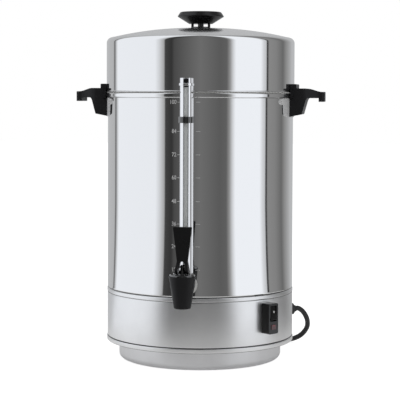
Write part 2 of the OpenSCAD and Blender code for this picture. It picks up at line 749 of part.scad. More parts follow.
module bracket_rivets() color(aluminium)
    for (side = [90, 270]) at_az(side) for (a = [-rivet_angle, rivet_angle]) rotate([0, 0, a]) {
        bar_x(rivet_d * 0.8, tank_in_r - slack - 1, tank_in_r - slack, rivet_z);
        bar_x(rivet_d / 2, tank_in_r - slack - weld, bracket_r + weld, rivet_z);
        bar_x(rivet_d * 0.8, bracket_r + seat_gap, bracket_r + 1.2, rivet_z);
    }

// ---------------------------------------------------------------- faucet

// Radius of the faucet body's cone at height z.
function faucet_cone(z) = (spout_d + (faucet_top_d - spout_d) * (z - spout_z) / faucet_h) / 2;

module faucet_body() color(black) at_az(0) difference() {
    union() {
        translate([faucet_r, 0, 0]) spin(concat(
            [[0, spout_z]], arc([spout_d / 2 - 1.6, spout_z + 1.6], 1.6, -90, -8, 4),
            [[faucet_top_d / 2, faucet_top], [0, faucet_top]]));
        bar_x(shank_d / 2, flange_x, faucet_r - outlet_d / 2, shank_z);
        bar_x(flange_d / 2, flange_x, flange_x + 3, shank_z);
        bar_x(thread_d / 2, tank_in_r - 13, flange_x + past, shank_z);
        translate([gauge_r, 0, shank_z - shank_d / 4])
            cylinder(r = boss_r, h = boss_top - shank_z + shank_d / 4);
    }
    bar_x(shank_bore / 2, tank_in_r - 14, faucet_r - outlet_d / 2 - past, shank_z);
    translate([gauge_r, 0, shank_z]) cylinder(r = glass_r - glass_wall, h = 20);
    translate([gauge_r, 0, glass_z]) cylinder(r = glass_seat_r, h = 20);
    translate([faucet_r, 0, 0]) {
        translate([0, 0, spout_z - past]) cylinder(d = outlet_d, h = 40);
        translate([0, 0, seat_z]) cylinder(r = chamber_r, h = 60);
        translate([0, 0, bonnet_z - 0.3]) cylinder(r = bonnet_r + seat_gap, h = 30);
    }
}

module faucet_bonnet() color(black) at_az(0) translate([faucet_r, 0, 0]) difference() {
    spin(concat(
        [[0, bonnet_z], [bonnet_r, bonnet_z], [bonnet_r, faucet_top], [faucet_top_d / 2 - 1.2, faucet_top]],
        arc([faucet_top_d / 2 - 2.4, faucet_top + 1.2], 1.2, 0, 80, 3),
        [[bonnet_hub_r + 1, faucet_top + 2.8], [bonnet_hub_r, faucet_top + bonnet_cap_h],
            [bonnet_neck_r, faucet_top + bonnet_cap_h], [stem_r + 0.9, faucet_top + bonnet_cap_h + 4],
            [0, faucet_top + bonnet_cap_h + 4]]));
    translate([0, 0, bonnet_z - past]) cylinder(r = pocket_r, h = pocket_z - bonnet_z + past);
    translate([0, 0, bonnet_z]) cylinder(r = stem_r + run_fit, h = 40);
}

module faucet_stem() color(steel) at_az(0) difference() {
    translate([faucet_r, 0, 0]) {
        translate([0, 0, seat_z + 2.6]) cylinder(r = stem_r, h = pin_z - 3 - seat_z - 2.6);
        translate([0, 0, pin_z - 3]) cylinder(r1 = stem_r, r2 = stem_r - 0.8, h = 6);
        translate([0, 0, collar_under]) cylinder(r = pocket_r - 0.6, h = spring_foot - collar_under);
    }
    translate([faucet_r, -10, pin_z]) rotate([-90, 0, 0]) cylinder(r = pin_d / 2 + seat_gap, h = 20);
}

module faucet_seat_cup() color(silicone) at_az(0) translate([faucet_r, 0, seat_z + rest_gap]) difference() {
    spin(concat(
        [[0, 0], [cup_d / 2 - 0.6, 0], [cup_d / 2, 0.8], [cup_d / 2 - 0.4, 2.2]],
        [[stem_r + 2.2, 4.4], [stem_r + 1.8, 6], [0, 6]]));
    translate([0, 0, 2.2]) cylinder(r = stem_r + seat_gap, h = 20);
}

// The return spring between the stem's collar and the roof of the bonnet's pocket.
module faucet_spring() color(steel) at_az(0) {
    turns = 5;
    steps = 12;
    coil = stem_r + spring_wire / 2 + 0.9;
    z0 = spring_foot + spring_wire / 2 + seat_gap;
    z1 = pocket_z - spring_wire / 2 - seat_gap;
    tube([for (i = [0:turns * steps]) let (a = 360 * i / steps)
        [faucet_r + coil * cos(a), coil * sin(a), z0 + (z1 - z0) * i / (turns * steps)]],
        spring_wire / 2, [1, 0, 0]);
}

// The lever's side outline about its pin. Its foot is a cam: the height of the pin above what the
// foot stands on grows by cam_rate for each radian of tilt.
function cam_point(a) = let (h = cam_h + cam_rate * a * PI / 180)
    [h * sin(a) + cam_rate * cos(a), -h * cos(a) + cam_rate * sin(a)];

module faucet_lever() color(black) at_az(0) translate([faucet_r, 0, pin_z]) difference() {
    top = faucet_top + lever_h - pin_z;
    waist = fork_h + 0.6;
    intersection() {
        slab_y(concat(
            [[-3.4, -cam_h]], [for (a = [0:5:lever_tilt]) cam_point(a)],
            [[cam_point(lever_tilt)[0] - 1.2, cam_point(lever_tilt)[1] + 2.6], [5.6, 3.6], [3.4, waist + 1]],
            arc([1.6, top - 1.2], 1.2, 0, 90, 4), arc([-1.2, top - 1.2], 1.2, 90, 180, 4),
            [[-3.4, waist + 1], [-4.6, 3], [-4.6, 1.4 - cam_h]]), 2 * lever_top_w);
        slab_x(concat(
            [[lever_foot_w / 2, -cam_h - past], [lever_foot_w / 2, -cam_h + 1.4], [lever_waist_w / 2, waist]],
            arc([lever_top_w / 2 - 1.4, top - 1.4], 1.4, -12, 90, 4),
            arc([1.4 - lever_top_w / 2, top - 1.4], 1.4, 90, 192, 4),
            [[-lever_waist_w / 2, waist], [-lever_foot_w / 2, -cam_h + 1.4],
                [-lever_foot_w / 2, -cam_h - past]]),
            -20, 20);
    }
    slab_x([
        [fork_gap / 2, -cam_h - past], [crotch_gap / 2, fork_h - 1], [crotch_gap / 2 - 1, fork_h],
        [1 - crotch_gap / 2, fork_h], [-crotch_gap / 2, fork_h - 1], [-fork_gap / 2, -cam_h - past]],
        -20, 20);
    translate([0, -20, 0]) rotate([-90, 0, 0]) cylinder(r = pin_d / 2 + run_fit, h = 40);
}

module faucet_lever_pin() color(steel) at_az(0)
    translate([faucet_r, -lever_waist_w / 2 - 0.6, pin_z]) rotate([-90, 0, 0])
        cylinder(d = pin_d, h = lever_waist_w + 1.2);

module faucet_gaskets() color(silicone) at_az(0) {
    inner_r = shank_z - floor_z - floor_round;
    difference() {
        bar_x(flange_d / 2 + 3, tank_r - 3, flange_x, shank_z);
        bar_x(thread_d / 2 + seat_gap, tank_r - 10, tank_r + 10, shank_z);
        drum(tank_r + seat_gap, shank_z - 30, shank_z + 30);
    }
    difference() {
        intersection() {
            bar_x(inner_r, tank_in_r - gasket_t - 0.6, tank_in_r + 3, shank_z);
            drum(tank_in_r - seat_gap, shank_z - 30, shank_z + 30);
        }
        bar_x(thread_d / 2 + seat_gap, tank_r - 10, tank_r + 10, shank_z);
    }
}

module faucet_nut() color(steel) at_az(0) {
    nut_x = tank_in_r - gasket_t - 0.6;
    difference() {
        translate([nut_x - 6, 0, shank_z]) rotate([0, 90, 0]) cylinder(d = thread_d + 7, h = 6, $fn = 6);
        bar_x(thread_d / 2 + seat_gap, nut_x - 10, nut_x + 10, shank_z);
    }
}

// ---------------------------------------------------------------- level gauge

module at_gauge(z) at_az(0) translate([gauge_r, 0, z]) children();

module gauge_glass() color("#dfe8ea", 0.4) at_gauge(glass_z + seat_gap)
    ring(glass_r - glass_wall, glass_r, glass_top - glass_z - seat_gap);

module gauge_guard() color(chrome) at_gauge(boss_top) difference() {
    ring(guard_r - guard_wall, guard_r, guard_top - boss_top);
    rotate([0, 0, slot_turn]) translate([0, -slot_w / 2, 3]) cube([20, slot_w, guard_top]);
}

module gauge_plug() color(black) at_gauge(plug_top - plug_h) spin([
    [0, 0], [guard_r - guard_wall - slack, 0], [guard_r - guard_wall - slack, plug_h - 1],
    [guard_r - guard_wall - slack - 1, plug_h], [0, plug_h]]);

module gauge_collar() color(chrome) at_gauge(collar_z - collar_h / 2) {
    in_r = guard_r + seat_gap;
    spin(concat([[in_r, 0]], arc([collar_d / 2 - 0.6, 0.6], 0.6, -90, 0, 3),
        arc([collar_d / 2 - 0.6, collar_h - 0.6], 0.6, 0, 90, 3), [[in_r, collar_h]]));
}

module gauge_clip() color(black) at_az(0) difference() {
    union() {
        translate([gauge_r, 0, clip_z - clip_h / 2]) cylinder(d = clip_d, h = clip_h);
        slab_x(round_rect(12, clip_h, 1), tank_r - 2, gauge_r - guard_r + 1, clip_z);
    }
    translate([gauge_r, 0, clip_z - clip_h]) cylinder(r = guard_r + seat_gap, h = 2 * clip_h);
    drum(tank_r + seat_gap, clip_z - clip_h, clip_z + clip_h);
    bar_x(rivet_d / 2 + seat_gap, tank_r - 10, gauge_r - guard_r - 1.4, clip_z);
}

module gauge_clip_screw() color(steel) at_az(0) {
    bar_x(rivet_d, tank_in_r - slack - 2.2, tank_in_r - slack, clip_z);
    bar_x(rivet_d / 2, tank_in_r - slack - weld, gauge_r - guard_r - 1.8, clip_z);
}

module gauge_seal() color(silicone) at_gauge(glass_z + seat_gap)
    ring(glass_r + seat_gap, glass_seat_r - seat_gap, boss_top - glass_z - 2 * seat_gap);

// ---------------------------------------------------------------- switch

module switch_housing() color(black) at_az(switch_az) difference() {
    slab_x(round_rect(switch_w, switch_h, 2.4), skirt_r - 3, housing_x, switch_z);
    slab_x(round_rect(switch_w - 2 * switch_wall, switch_h - 2 * switch_wall, 1), skirt_r - 4,
        housing_x - switch_wall, switch_z);
    slab_x(round_rect(rocker_w + 0.7, rocker_l + 2.6, 0.8), housing_x - 4, housing_x + past, rocker_z);
    slab_x(round_rect(lamp_w + 2 * seat_gap, lamp_h + 2 * seat_gap, 0.8), housing_x - 4, housing_x + past,
        switch_z - lamp_drop);
    drum(skirt_r + seat_gap, switch_z - switch_h, switch_z + switch_h);
}

module switch_rocker() color(black) at_az(switch_az) translate([rocker_x, 0, rocker_z]) {
    half = rocker_l / 2;
    rotate([0, -rocker_swing / 2, 0]) slab_y(concat(
        [[-3, half * 0.6], [-3, -half * 0.6], [2.6, -half]], arc([3.6, -half + 0.6], 0.6, -90, 0, 3),
        [[3.4, 0]], arc([3.6, half - 0.6], 0.6, 0, 90, 3), [[2.6, half]]), rocker_w);
    translate([0, -rocker_w / 2 - 1.3, 0]) rotate([-90, 0, 0]) cylinder(d = rocker_pin_d, h = rocker_w + 2.6);
}

module switch_lamp_lens() color("#c02028") at_az(switch_az) {
    inside = housing_x - switch_wall;
    slab_x(round_rect(lamp_w, lamp_h, 0.8), inside - past, housing_x + 0.7, switch_z - lamp_drop);
    slab_x(round_rect(lamp_w + 2, lamp_h + 2, 0.8), inside - 2, inside - seat_gap, switch_z - lamp_drop);
}

module switch_module() color("#3a3a3c") at_az(switch_az) {
    slab_x(round_rect(module_w, switch_h - 12, 1), skirt_in_r - module_back, module_x, switch_z);
    for (s = [-1, 1]) difference() {
        translate([module_x - weld, s > 0 ? rocker_w / 2 + 0.3 : -rocker_w / 2 - 0.3 - ear_t, rocker_z - 3.4])
            cube([rocker_x - module_x + weld + 2.6, ear_t, 6.8]);
        translate([rocker_x, -20, rocker_z]) rotate([-90, 0, 0])
            cylinder(r = rocker_pin_d / 2 + run_fit, h = 40);
    }
    for (row = [-1:1]) slab_x(round_rect(5, 1, 0.3), switch_tab_x, skirt_in_r - module_back + weld,
        switch_z + row * switch_tab_step);
}

// ---------------------------------------------------------------- heating and wiring

heater_z = floor_under - 3 - heater_h;
heater_tab_l = 8;
heater_tab_x = -heater_d / 2 - heater_tab_l;
heater_tab_y = 9;
module pump_heater() color(steel) {
    spin([[well_out_r + slack, heater_z], [heater_d / 2, heater_z], [heater_d / 2, heater_z + heater_h - 3],
        [heater_d / 2 - 3, heater_z + heater_h], [well_out_r + slack, heater_z + heater_h]]);
    for (side = [-1, 1]) translate([heater_tab_x, side * heater_tab_y - 3, heater_z + 4])
        cube([heater_tab_l + past, 6, 1]);
}

plate_t = 1.6;
plate_under = heater_z - plate_t;
plate_hole_d = 6;
module heater_plate() color(steel) difference() {
    translate([0, 0, plate_under]) cylinder(d = heater_d - 8, h = plate_t);
    translate([0, 0, plate_under - past]) cylinder(d = stud_d + 2 * slack, h = plate_t + 2 * past);
    for (a = [45:90:315]) rotate([0, 0, a]) translate([well_r + 4, 0, plate_under - past])
        cylinder(d = plate_hole_d, h = plate_t + 2 * past);
}

heater_nut_h = 6;
module heater_nut() color(steel) translate([0, 0, plate_under - heater_nut_h]) difference() {
    cylinder(d = stud_d * 1.9, h = heater_nut_h, $fn = 6);
    translate([0, 0, -past]) cylinder(d = stud_d + 2 * seat_gap, h = heater_nut_h + 2 * past);
}

warm_r = post_reach - post_d / 2 - warm_gap - warm_w;
warm_tab_h = 8;
module warm_heater() color(steel) translate([0, 0, floor_under - warm_h]) {
    ring(warm_r, warm_r + warm_w, warm_h);
    for (y = [-12, 12]) translate([-warm_r - warm_w / 2, y - 3, -warm_tab_h]) cube([1, 6, warm_tab_h + weld]);
}

// The thermostat and the fuse sit under the tank floor, midway between the two heaters. A point of theirs
// is given by the piece's angle, how far it is towards the axis and to its left, and its height.
control_r = (heater_d / 2 + warm_r) / 2;
control_angle = 34;
function control_point(a, x, y, z) =
    [(x - control_r) * cos(a) - y * sin(a), (x - control_r) * sin(a) + y * cos(a), z];
module at_control(a, z) rotate([0, 0, a]) translate([-control_r, 0, z]) children();

thermostat_h = 8;
thermostat_tab_l = 7;
thermostat_tab_y = 5;
thermostat_tab_z = floor_under - thermostat_h - thermostat_tab_l;
module brew_thermostat() color("#4a4642") at_control(-control_angle, thermostat_tab_z) {
    translate([0, 0, thermostat_tab_l]) cylinder(d = thermostat_d, h = thermostat_h);
    for (side = [-1, 1]) translate([-3, side * thermostat_tab_y - 0.5, 0])
        cube([6, 1, thermostat_tab_l + weld]);
}

fuse_l = 18;
fuse_w = 8;
fuse_h = 5;
fuse_lead_l = 4;
fuse_end = fuse_l / 2 + fuse_lead_l;
module thermal_fuse() color(chrome) at_control(control_angle, floor_under - fuse_h) {
    translate([-fuse_w / 2, -fuse_l / 2, 0]) cube([fuse_w, fuse_l, fuse_h]);
    translate([-1, -fuse_end, fuse_h / 2 - 0.5]) cube([2, 2 * fuse_end, 1]);
}

block_w = 18;
block_l = 34;
block_x = pan_r - pan_round - 1.8 - 2 * block_w;
block_hole_step = 5.5;
block_mid = block_x + block_w - 6;
module terminal_block() color("#d8d5c8") at_az(relief_az) difference() {
    translate([block_x, -block_l / 2, pan_wall]) cube([block_w, block_l, block_h]);
    for (row = [-2:2]) translate([block_x + 6, row * block_hole_step, pan_wall + 4])
        cylinder(d = 3, h = block_h);
}

// Ends of the leads, from the pieces that they join
relief_in = skirt_in_r - 9;
block_top = pan_wall + block_h;
lead_r = 1.5;
// How far a lead runs straight out of a piece before it turns
lead_out = 4;
function polar(x, az, y, z) = [x * sin(az) + y * cos(az), -x * cos(az) + y * sin(az), z];
function block_end(y, rise) = polar(block_mid, relief_az, y, block_top + seat_gap + rise);
function switch_end(row, out) =
    polar(switch_tab_x - seat_gap - out, switch_az, 0, switch_z + row * switch_tab_step);
function heater_end(side, out) = [heater_tab_x - seat_gap - out, side * heater_tab_y, heater_z + 4.5];
function thermostat_end(side, out) =
    control_point(-control_angle, 0, side * thermostat_tab_y, thermostat_tab_z - seat_gap - out);
function fuse_lead_end(side, out) =
    control_point(control_angle, 0, side * (fuse_end + seat_gap + out), floor_under - fuse_h / 2);

module wiring() color("#7a2f26") {
    out = lead_out;
    side_l = 2 * block_hole_step;
    tube([polar(relief_in - seat_gap, relief_az, 0, relief_z), polar(relief_in - 5, relief_az, 0, relief_z),
        polar(relief_in - 15, relief_az, 0, relief_z - 7), polar(104, relief_az, 0, relief_z - 18),
        polar(97, relief_az, 0, block_top + 18), polar(88, relief_az, 0, block_top + 12),
        block_end(0, out), block_end(0, 0)], 2 * lead_r, [0, 0, 1]);
    tube([block_end(-side_l, 0), block_end(-side_l, out),
        polar(block_mid, relief_az, -side_l - 2, block_top + 14), [88, 6, 42], [92, -30, 58],
        switch_end(-1, 2 * out), switch_end(-1, 0)], lead_r, [1, 0, 0]);
    tube([switch_end(1, 0), switch_end(1, out), switch_end(1, 4 * out),
        [40, -50, 62], [-10, -62, 70], [-32, -60, 90], fuse_lead_end(-1, out), fuse_lead_end(-1, 0)],
        lead_r, [0, 0, 1]);
    tube([fuse_lead_end(1, 0), fuse_lead_end(1, out), [-60, -12, 90], heater_end(-1, out), heater_end(-1, 0)],
        lead_r, [0, 0, 1]);
    tube([heater_end(1, 0), heater_end(1, out), [-58, 16, 84],
        thermostat_end(-1, 2 * out), thermostat_end(-1, out), thermostat_end(-1, 0)], lead_r, [0, 0, 1]);
    tube([thermostat_end(1, 0), thermostat_end(1, out), [-42, 40, 80], [-10, 52, 50],
        [40, 52, 36], polar(block_mid, relief_az, side_l, block_top + 12), block_end(side_l, out),
        block_end(side_l, 0)], lead_r, [1, 0, 0]);
}

// ---------------------------------------------------------------- cord

module strain_relief() color(black) at_az(relief_az) difference() {
    collar = 2.6;
    body_l = relief_l - relief_nose_l - collar;
    union() {
        bar_x(relief_d / 2 - 1.6, relief_in, skirt_r + past, relief_z);
        bar_x(relief_d / 2 + 2.4, skirt_r - 3, skirt_r + collar, relief_z);
        translate([skirt_r + collar - weld, 0, relief_z]) rotate([0, 90, 0])
            cylinder(r1 = relief_d / 2, r2 = relief_d / 2 - 1.2, h = body_l + weld);
        translate([relief_x - relief_nose_l - weld, 0, relief_z]) rotate([0, 90, 0])
            cylinder(r1 = relief_nose_d / 2, r2 = cord_r + 0.8, h = relief_nose_l + weld);
    }
    intersection() {
        drum(skirt_r + seat_gap, relief_z - 30, relief_z + 30);
        difference() {
            bar_x(40, skirt_r - 10, skirt_r + 10, relief_z);
            bar_x(relief_d / 2 - 1.6, skirt_r - 20, skirt_r + 20, relief_z);
        }
    }
}

module relief_nut() color(steel) at_az(relief_az) difference() {
    translate([skirt_in_r - 6.5, 0, relief_z]) rotate([0, 90, 0]) cylinder(d = relief_d + 6, h = 5, $fn = 6);
    bar_x(relief_d / 2 - 1.5, skirt_in_r - 20, skirt_r + past, relief_z);
}

module cord() color(black) {
    tube(concat([relief_tip], CORD), cord_r, [0, 0, 1]);
    tube(TAIL, cord_r, [0, 0, 1]);
}

module cord_coil() color(black) translate([coil_at[0], coil_at[1], 0]) rotate_extrude()
    translate([coil_r, cord_d]) polygon(round_rect(2 * cord_d, 2 * cord_d, cord_d / 3));

module at_plug() translate(TAIL[len(TAIL) - 1]) rotate([0, 0, plug_heading]) children();

module plug_body() color(black) at_plug() difference() {
    nose = 18;
    union() {
        rotate([0, 90, 0]) cylinder(r1 = cord_r + 0.8, r2 = cord_r + 3, h = nose + weld);
        translate([nose, 0, 0]) rotate([0, 90, 0]) cylinder(r1 = plug_d / 2 - 4, r2 = plug_d / 2, h = 8);
        bar_x(plug_d / 2, nose + 8 - seat_gap, nose + plug_l);
    }
    for (y = [-6.35, 6.35]) translate([nose + plug_l - 6, y - 0.85, -7.3]) cube([6 + past, 1.7, 6.6]);
    bar_x(2.45, nose + plug_l - 6, nose + plug_l + past, 7);
}

module plug_blades() color(chrome) at_plug() {
    for (y = [-6.35, 6.35]) translate([18 + plug_l - 6 + seat_gap, y - 0.75, -7.2]) cube([6 + 17, 1.5, 6.4]);
    bar_x(2.4, 18 + plug_l - 6 + seat_gap, 18 + plug_l + 19, 7);
}

// ---------------------------------------------------------------- percolator

module pump_tube() color(steel) {
    translate([0, 0, chamber_top]) ring(tube_r - tube_wall, tube_r, tube_top - chamber_top);
    translate([0, 0, basket_z - rest_gap - stop_h]) ring(tube_r - weld, tube_r + stop_w, stop_h);
}

module pump_foot() color(steel) difference() {
    bell = bell_d / 2;
    spin([
        [bell - 1.2, foot_z], [bell, foot_z], [bell, foot_z + 9], [tube_r + 6, plate_z],
        [tube_r - 0.9, plate_z], [tube_r - 0.9, plate_z - 1.2],
        [tube_r + 4.8, plate_z - 1.2], [bell - 1.2, foot_z + 8]]);
    for (a = [0:90:270]) rotate([0, 0, a]) translate([bell - 5, -4, foot_z - past]) cube([10, 8, 3 + past]);
}

// The cap over the valve disc, staked to the bell, with the sleeve that holds the pump tube
module pump_chamber() color(steel) spin([
    [tube_r + 4.6, plate_z + seat_gap], [tube_r + 6, plate_z + seat_gap],
    [tube_r + 6, chamber_top], [tube_r + 2, chamber_top + 3], [tube_r + 2, chamber_top + 16],
    [tube_r + seat_gap, chamber_top + 16], [tube_r + seat_gap, chamber_top],
    [tube_r - 1.6, chamber_top], [tube_r - 1.6, chamber_top - roof_t],
    [tube_r + 4.6, chamber_top - roof_t]]);

module pump_valve() color(chrome) translate([0, 0, plate_z + rest_gap])
    cylinder(r = tube_r + 3.2, h = valve_t);

module coffee_basket() color(aluminium) difference() {
    spin(concat(
        [[tube_r + 0.4, basket_z]],
        arc([basket_r - 8, basket_z + 8], 8, -90, 0),
        [[basket_r, basket_top - 2], [basket_r + 3, basket_top - 1], [basket_r + 3, basket_top],
            [basket_r - basket_wall, basket_top]],
        arc([basket_r - 8, basket_z + 8], 8 - basket_wall, 0, -90),
        [[tube_r + 1.6, basket_z + basket_wall], [tube_r + 1.6, basket_top - 8],
            [tube_r + 0.4, basket_top - 8]]));
    for (row = [1:4]) for (i = [0:6 * row - 1]) rotate([0, 0, 60 * i / row])
        translate([basket_r * (0.1 + 0.18 * row), 0, basket_z - past]) cylinder(d = hole_d, h = 4, $fn = 24);
}

module basket_cover() color(aluminium) difference() {
    spin([
        [tube_r + 0.4, cover_z], [basket_r + 2, cover_z], [basket_r + 2, cover_z + basket_wall],
        [basket_r - 4, cover_z + basket_wall], [basket_r - 6, cover_z + 4],
        [tube_r + 4, cover_z + 4], [tube_r + 1.6, cover_z + hub_h], [tube_r + 0.4, cover_z + hub_h]]);
    translate([0, 0, cover_z - past]) ring(tube_r + 4, basket_r - 8, 4 - basket_wall + past);
    for (row = [1:4]) for (i = [0:6 * row - 1]) rotate([0, 0, 60 * i / row])
        translate([basket_r * (0.1 + 0.18 * row), 0, cover_z - past]) cylinder(d = hole_d, h = 8, $fn = 24);
}

tank();
tank_floor();
base_skirt();
base_pan();
pan_floor();
tie_posts();
pan_screws();
lid_shell();
lid_top();
lid_seal();
lid_knob();
lid_knob_screw();
lid_knob_washer();
handle_left();
handle_right();
handle_bracket_left();
handle_bracket_right();
handle_screws();
bracket_rivets();
faucet_body();
faucet_bonnet();
faucet_stem();
faucet_seat_cup();
faucet_spring();
faucet_lever();
faucet_lever_pin();
faucet_gaskets();
faucet_nut();
gauge_glass();
gauge_guard();
gauge_plug();
gauge_collar();
gauge_clip();
gauge_clip_screw();
gauge_seal();
switch_housing();
switch_rocker();
switch_lamp_lens();
switch_module();
pump_heater();
heater_plate();
heater_nut();
warm_heater();
brew_thermostat();
thermal_fuse();
terminal_block();
wiring();
strain_relief();
relief_nut();
cord();
cord_coil();
plug_body();
plug_blades();
pump_tube();
pump_foot();
pump_chamber();
pump_valve();
coffee_basket();
basket_cover();
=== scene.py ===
"""Percolator coffee urn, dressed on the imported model's frame.

Everything in the scene is in metres, and the table is z = 0. Sizes that are shared with the solids are
named in millimetres, and MM turns them into metres. Azimuths are degrees round the urn's axis, from the
faucet (0, along -Y) towards the right-hand handle (90).
"""

import math

import bmesh
import bpy
import numpy as np
from bpy.props import FloatProperty, FloatVectorProperty, IntProperty, PointerProperty
from mathutils import Euler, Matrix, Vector


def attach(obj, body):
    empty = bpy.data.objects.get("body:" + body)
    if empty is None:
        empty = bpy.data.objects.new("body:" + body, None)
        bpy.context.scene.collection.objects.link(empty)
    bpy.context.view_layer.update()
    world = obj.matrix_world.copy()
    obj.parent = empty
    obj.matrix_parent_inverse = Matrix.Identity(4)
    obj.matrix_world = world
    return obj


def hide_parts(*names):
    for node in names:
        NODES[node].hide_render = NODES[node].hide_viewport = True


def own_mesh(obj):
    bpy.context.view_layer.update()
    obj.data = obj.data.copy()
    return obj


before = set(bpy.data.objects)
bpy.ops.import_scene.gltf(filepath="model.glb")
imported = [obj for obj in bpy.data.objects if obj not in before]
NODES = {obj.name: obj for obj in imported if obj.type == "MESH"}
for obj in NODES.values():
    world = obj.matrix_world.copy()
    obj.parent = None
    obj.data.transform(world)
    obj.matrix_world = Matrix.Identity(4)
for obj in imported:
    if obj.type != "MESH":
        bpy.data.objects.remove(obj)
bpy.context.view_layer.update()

bl_info = {
    "name": "Coffee Urn",
    "version": (1, 0, 0),
    "blender": (4, 5, 0),
    "location": "View3D > Sidebar > Urn",
    "description": "Dresses a percolator coffee urn with turned metal, printed scale, cord and studio",
    "category": "Object",
}

MM = 0.001

# Driving sizes that the turned pieces share with the solids, in millimetres
TANK_R, TANK_WALL = 134.7, 1.5
SEAM_Z, BEAD_Z, RIM_Z = 103.5, 378.4, 385.2
BEAD_R, BEAD_ROUND = 138.2, 2.0
FLOOR_UNDER, FLOOR_T, FLOOR_ROUND = 106.0, 2.0, 3.0
WELL_R, WELL_Z, WELL_EDGE = 23.0, 89.0, 1.0
STUD_R, STUD_Z = 4.0, 71.0
SKIRT_R, SKIRT_WALL, SKIRT_Z, LEDGE_W = 135.0, 1.4, 26.9, 10.0
BAND_H, BAND_OUT, GROOVE, GROOVE_IN, STEP_H, STEP_OUT = 6.5, 0.7, 1.4, 0.8, 5.2, 0.35
LID_R, LID_WALL, LID_Z, LID_H, LID_CORNER, LID_CROWN = 136.5, 1.2, 386.7, 78.5, 8.0, 13.7
KNOB_SEAT_R, KNOB_HOLE_R, NOTCH_ANGLE = 17.1, 2.3, 17.2

# Small roundings of the turned pieces, and what a notch leaves of the lid's flange, in millimetres
BEAD_FILLET, BAND_ROLL, BAND_EDGE, GROOVE_EDGE, STEP_ROLL = 0.5, 1.5, 1.0, 0.4, 1.2
FLANGE_EDGE, FLANGE_FILLET, NOTCH_LIP = 0.3, 0.6, 0.2

# Rings that keep long walls even beside rounded edges: heights, then distances from an edge, in millimetres
TANK_RING_IN, TANK_RING_OUT, SKIRT_RING, LID_RING_HIGH, LID_RING_LOW = 200, 240, 66, 440, 400
EDGE_RING, BAND_RING, LEDGE_RING = 3, 4, 2

# The lid's dome and rounded corner: steps along each, the angle at which they meet, and how far up faces of
# the dome look
DOME_STEPS, CORNER_STEPS, CORNER_START, DOME_UP = 24, 12, 80, 0.7

# The cord's route, as its solids have it, in millimetres and degrees
CORD_R = 3.75
RELIEF_AZ, RELIEF_TIP_R, RELIEF_Z = 122, 159.05, 60
LEAD = [
    (139, 86.9, 60), (145, 95, 54.5), (149.5, 102.5, 46), (151.5, 110, 37.5), (151, 117, 28.5),
    (147, 123, 20), (140.5, 128.5, 12.5), (132, 133.5, 7), (122.5, 138, CORD_R), (111, 142, CORD_R),
    (99, 148, CORD_R), (88, 156, CORD_R), (78, 166.5, CORD_R), (70.5, 178.5, CORD_R), (66.3, 191.5, CORD_R),
]
COIL_AT, COIL_OUTER, COIL_INNER, COIL_SWEEP, COIL_STEP = (20, 205), 45.0, 37.5, 1224, 12
COIL_INWARD, COIL_UP, COIL_OUTWARD, COIL_EASE = 300, 600, 900, 60
TAIL = [(-25, 219, 10), (-34, 207, 10), (-42, 196, 12), (-50, 185, 13.5)]
PATH_STEPS = 4

# Cups and the height of their marks, in millimetres
CUP_MARKS = {100: 372.5, 84: 332.5, 72: 300.5, 60: 269, 48: 236.5, 36: 205.5, 24: 174.5, 12: 142.5}

# The printing: azimuths of its columns, a mark's height and half the ink's thickness in metres, a digit's
# share of the type's size, its extra weight as a share of its height, and how narrow it is
DIGITS_AZ, LEFT_MARK_AZ, RIGHT_MARK_AZ = -6.6, -6.1, 4.9
MARK_HEIGHT, INK_HALF = 0.0007, 0.00004
DIGIT_SHARE, DIGIT_WEIGHT, DIGIT_NARROW = 0.7, 0.02, 0.84

# The rocker's dot, in millimetres and degrees: its place, radius and thickness, and how the rocker leans
DOT_AZ, DOT_OUT, DOT_SIDE, DOT_Z = 51, 147.5, 2.0, 81.0
DOT_R, DOT_RISE, DOT_LEAN, DOT_STEPS = 1.5, 0.18, 4.9, 24


# ------------------------ properties

class UrnShape(bpy.types.PropertyGroup):
    """Sizes of the dressed urn that a user would change."""

    segments: IntProperty(
        name="Segments", description="Steps round a turned piece", default=256, min=48, max=720)
    digit_height: FloatProperty(
        name="Digit height", description="Height of the scale's numbers", default=0.0055, unit="LENGTH")
    tick_length: FloatProperty(
        name="Tick length", description="Length of the scale's marks round the tank", default=0.0058,
        unit="LENGTH")
    ink_lift: FloatProperty(
        name="Ink lift", description="How far the printing stands off the wall", default=0.0001,
        unit="LENGTH")


class UrnFinish(bpy.types.PropertyGroup):
    """Colours and roughness of the urn's finishes."""

    aluminium: FloatVectorProperty(
        name="Aluminium", description="Colour of the polished tank and lid", subtype="COLOR",
        default=(0.86, 0.86, 0.86), min=0, max=1)
    polish: FloatProperty(
        name="Polish", description="Roughness of the polished aluminium", default=0.05, min=0, max=1)
    satin: FloatProperty(
        name="Satin", description="Roughness of the satin aluminium", default=0.34, min=0, max=1)
    plastic: FloatVectorProperty(
        name="Black plastic", description="Colour of the moulded black pieces", subtype="COLOR",
        default=(0.006, 0.006, 0.0064), min=0, max=1)
    ink: FloatVectorProperty(
        name="Ink", description="Colour of the printed scale", subtype="COLOR",
        default=(0.55, 0.55, 0.55), min=0, max=1)
    lamp: FloatVectorProperty(
        name="Lamp", description="Colour of the lit lens", subtype="COLOR", default=(0.40, 0.012, 0.03),
        min=0, max=1)


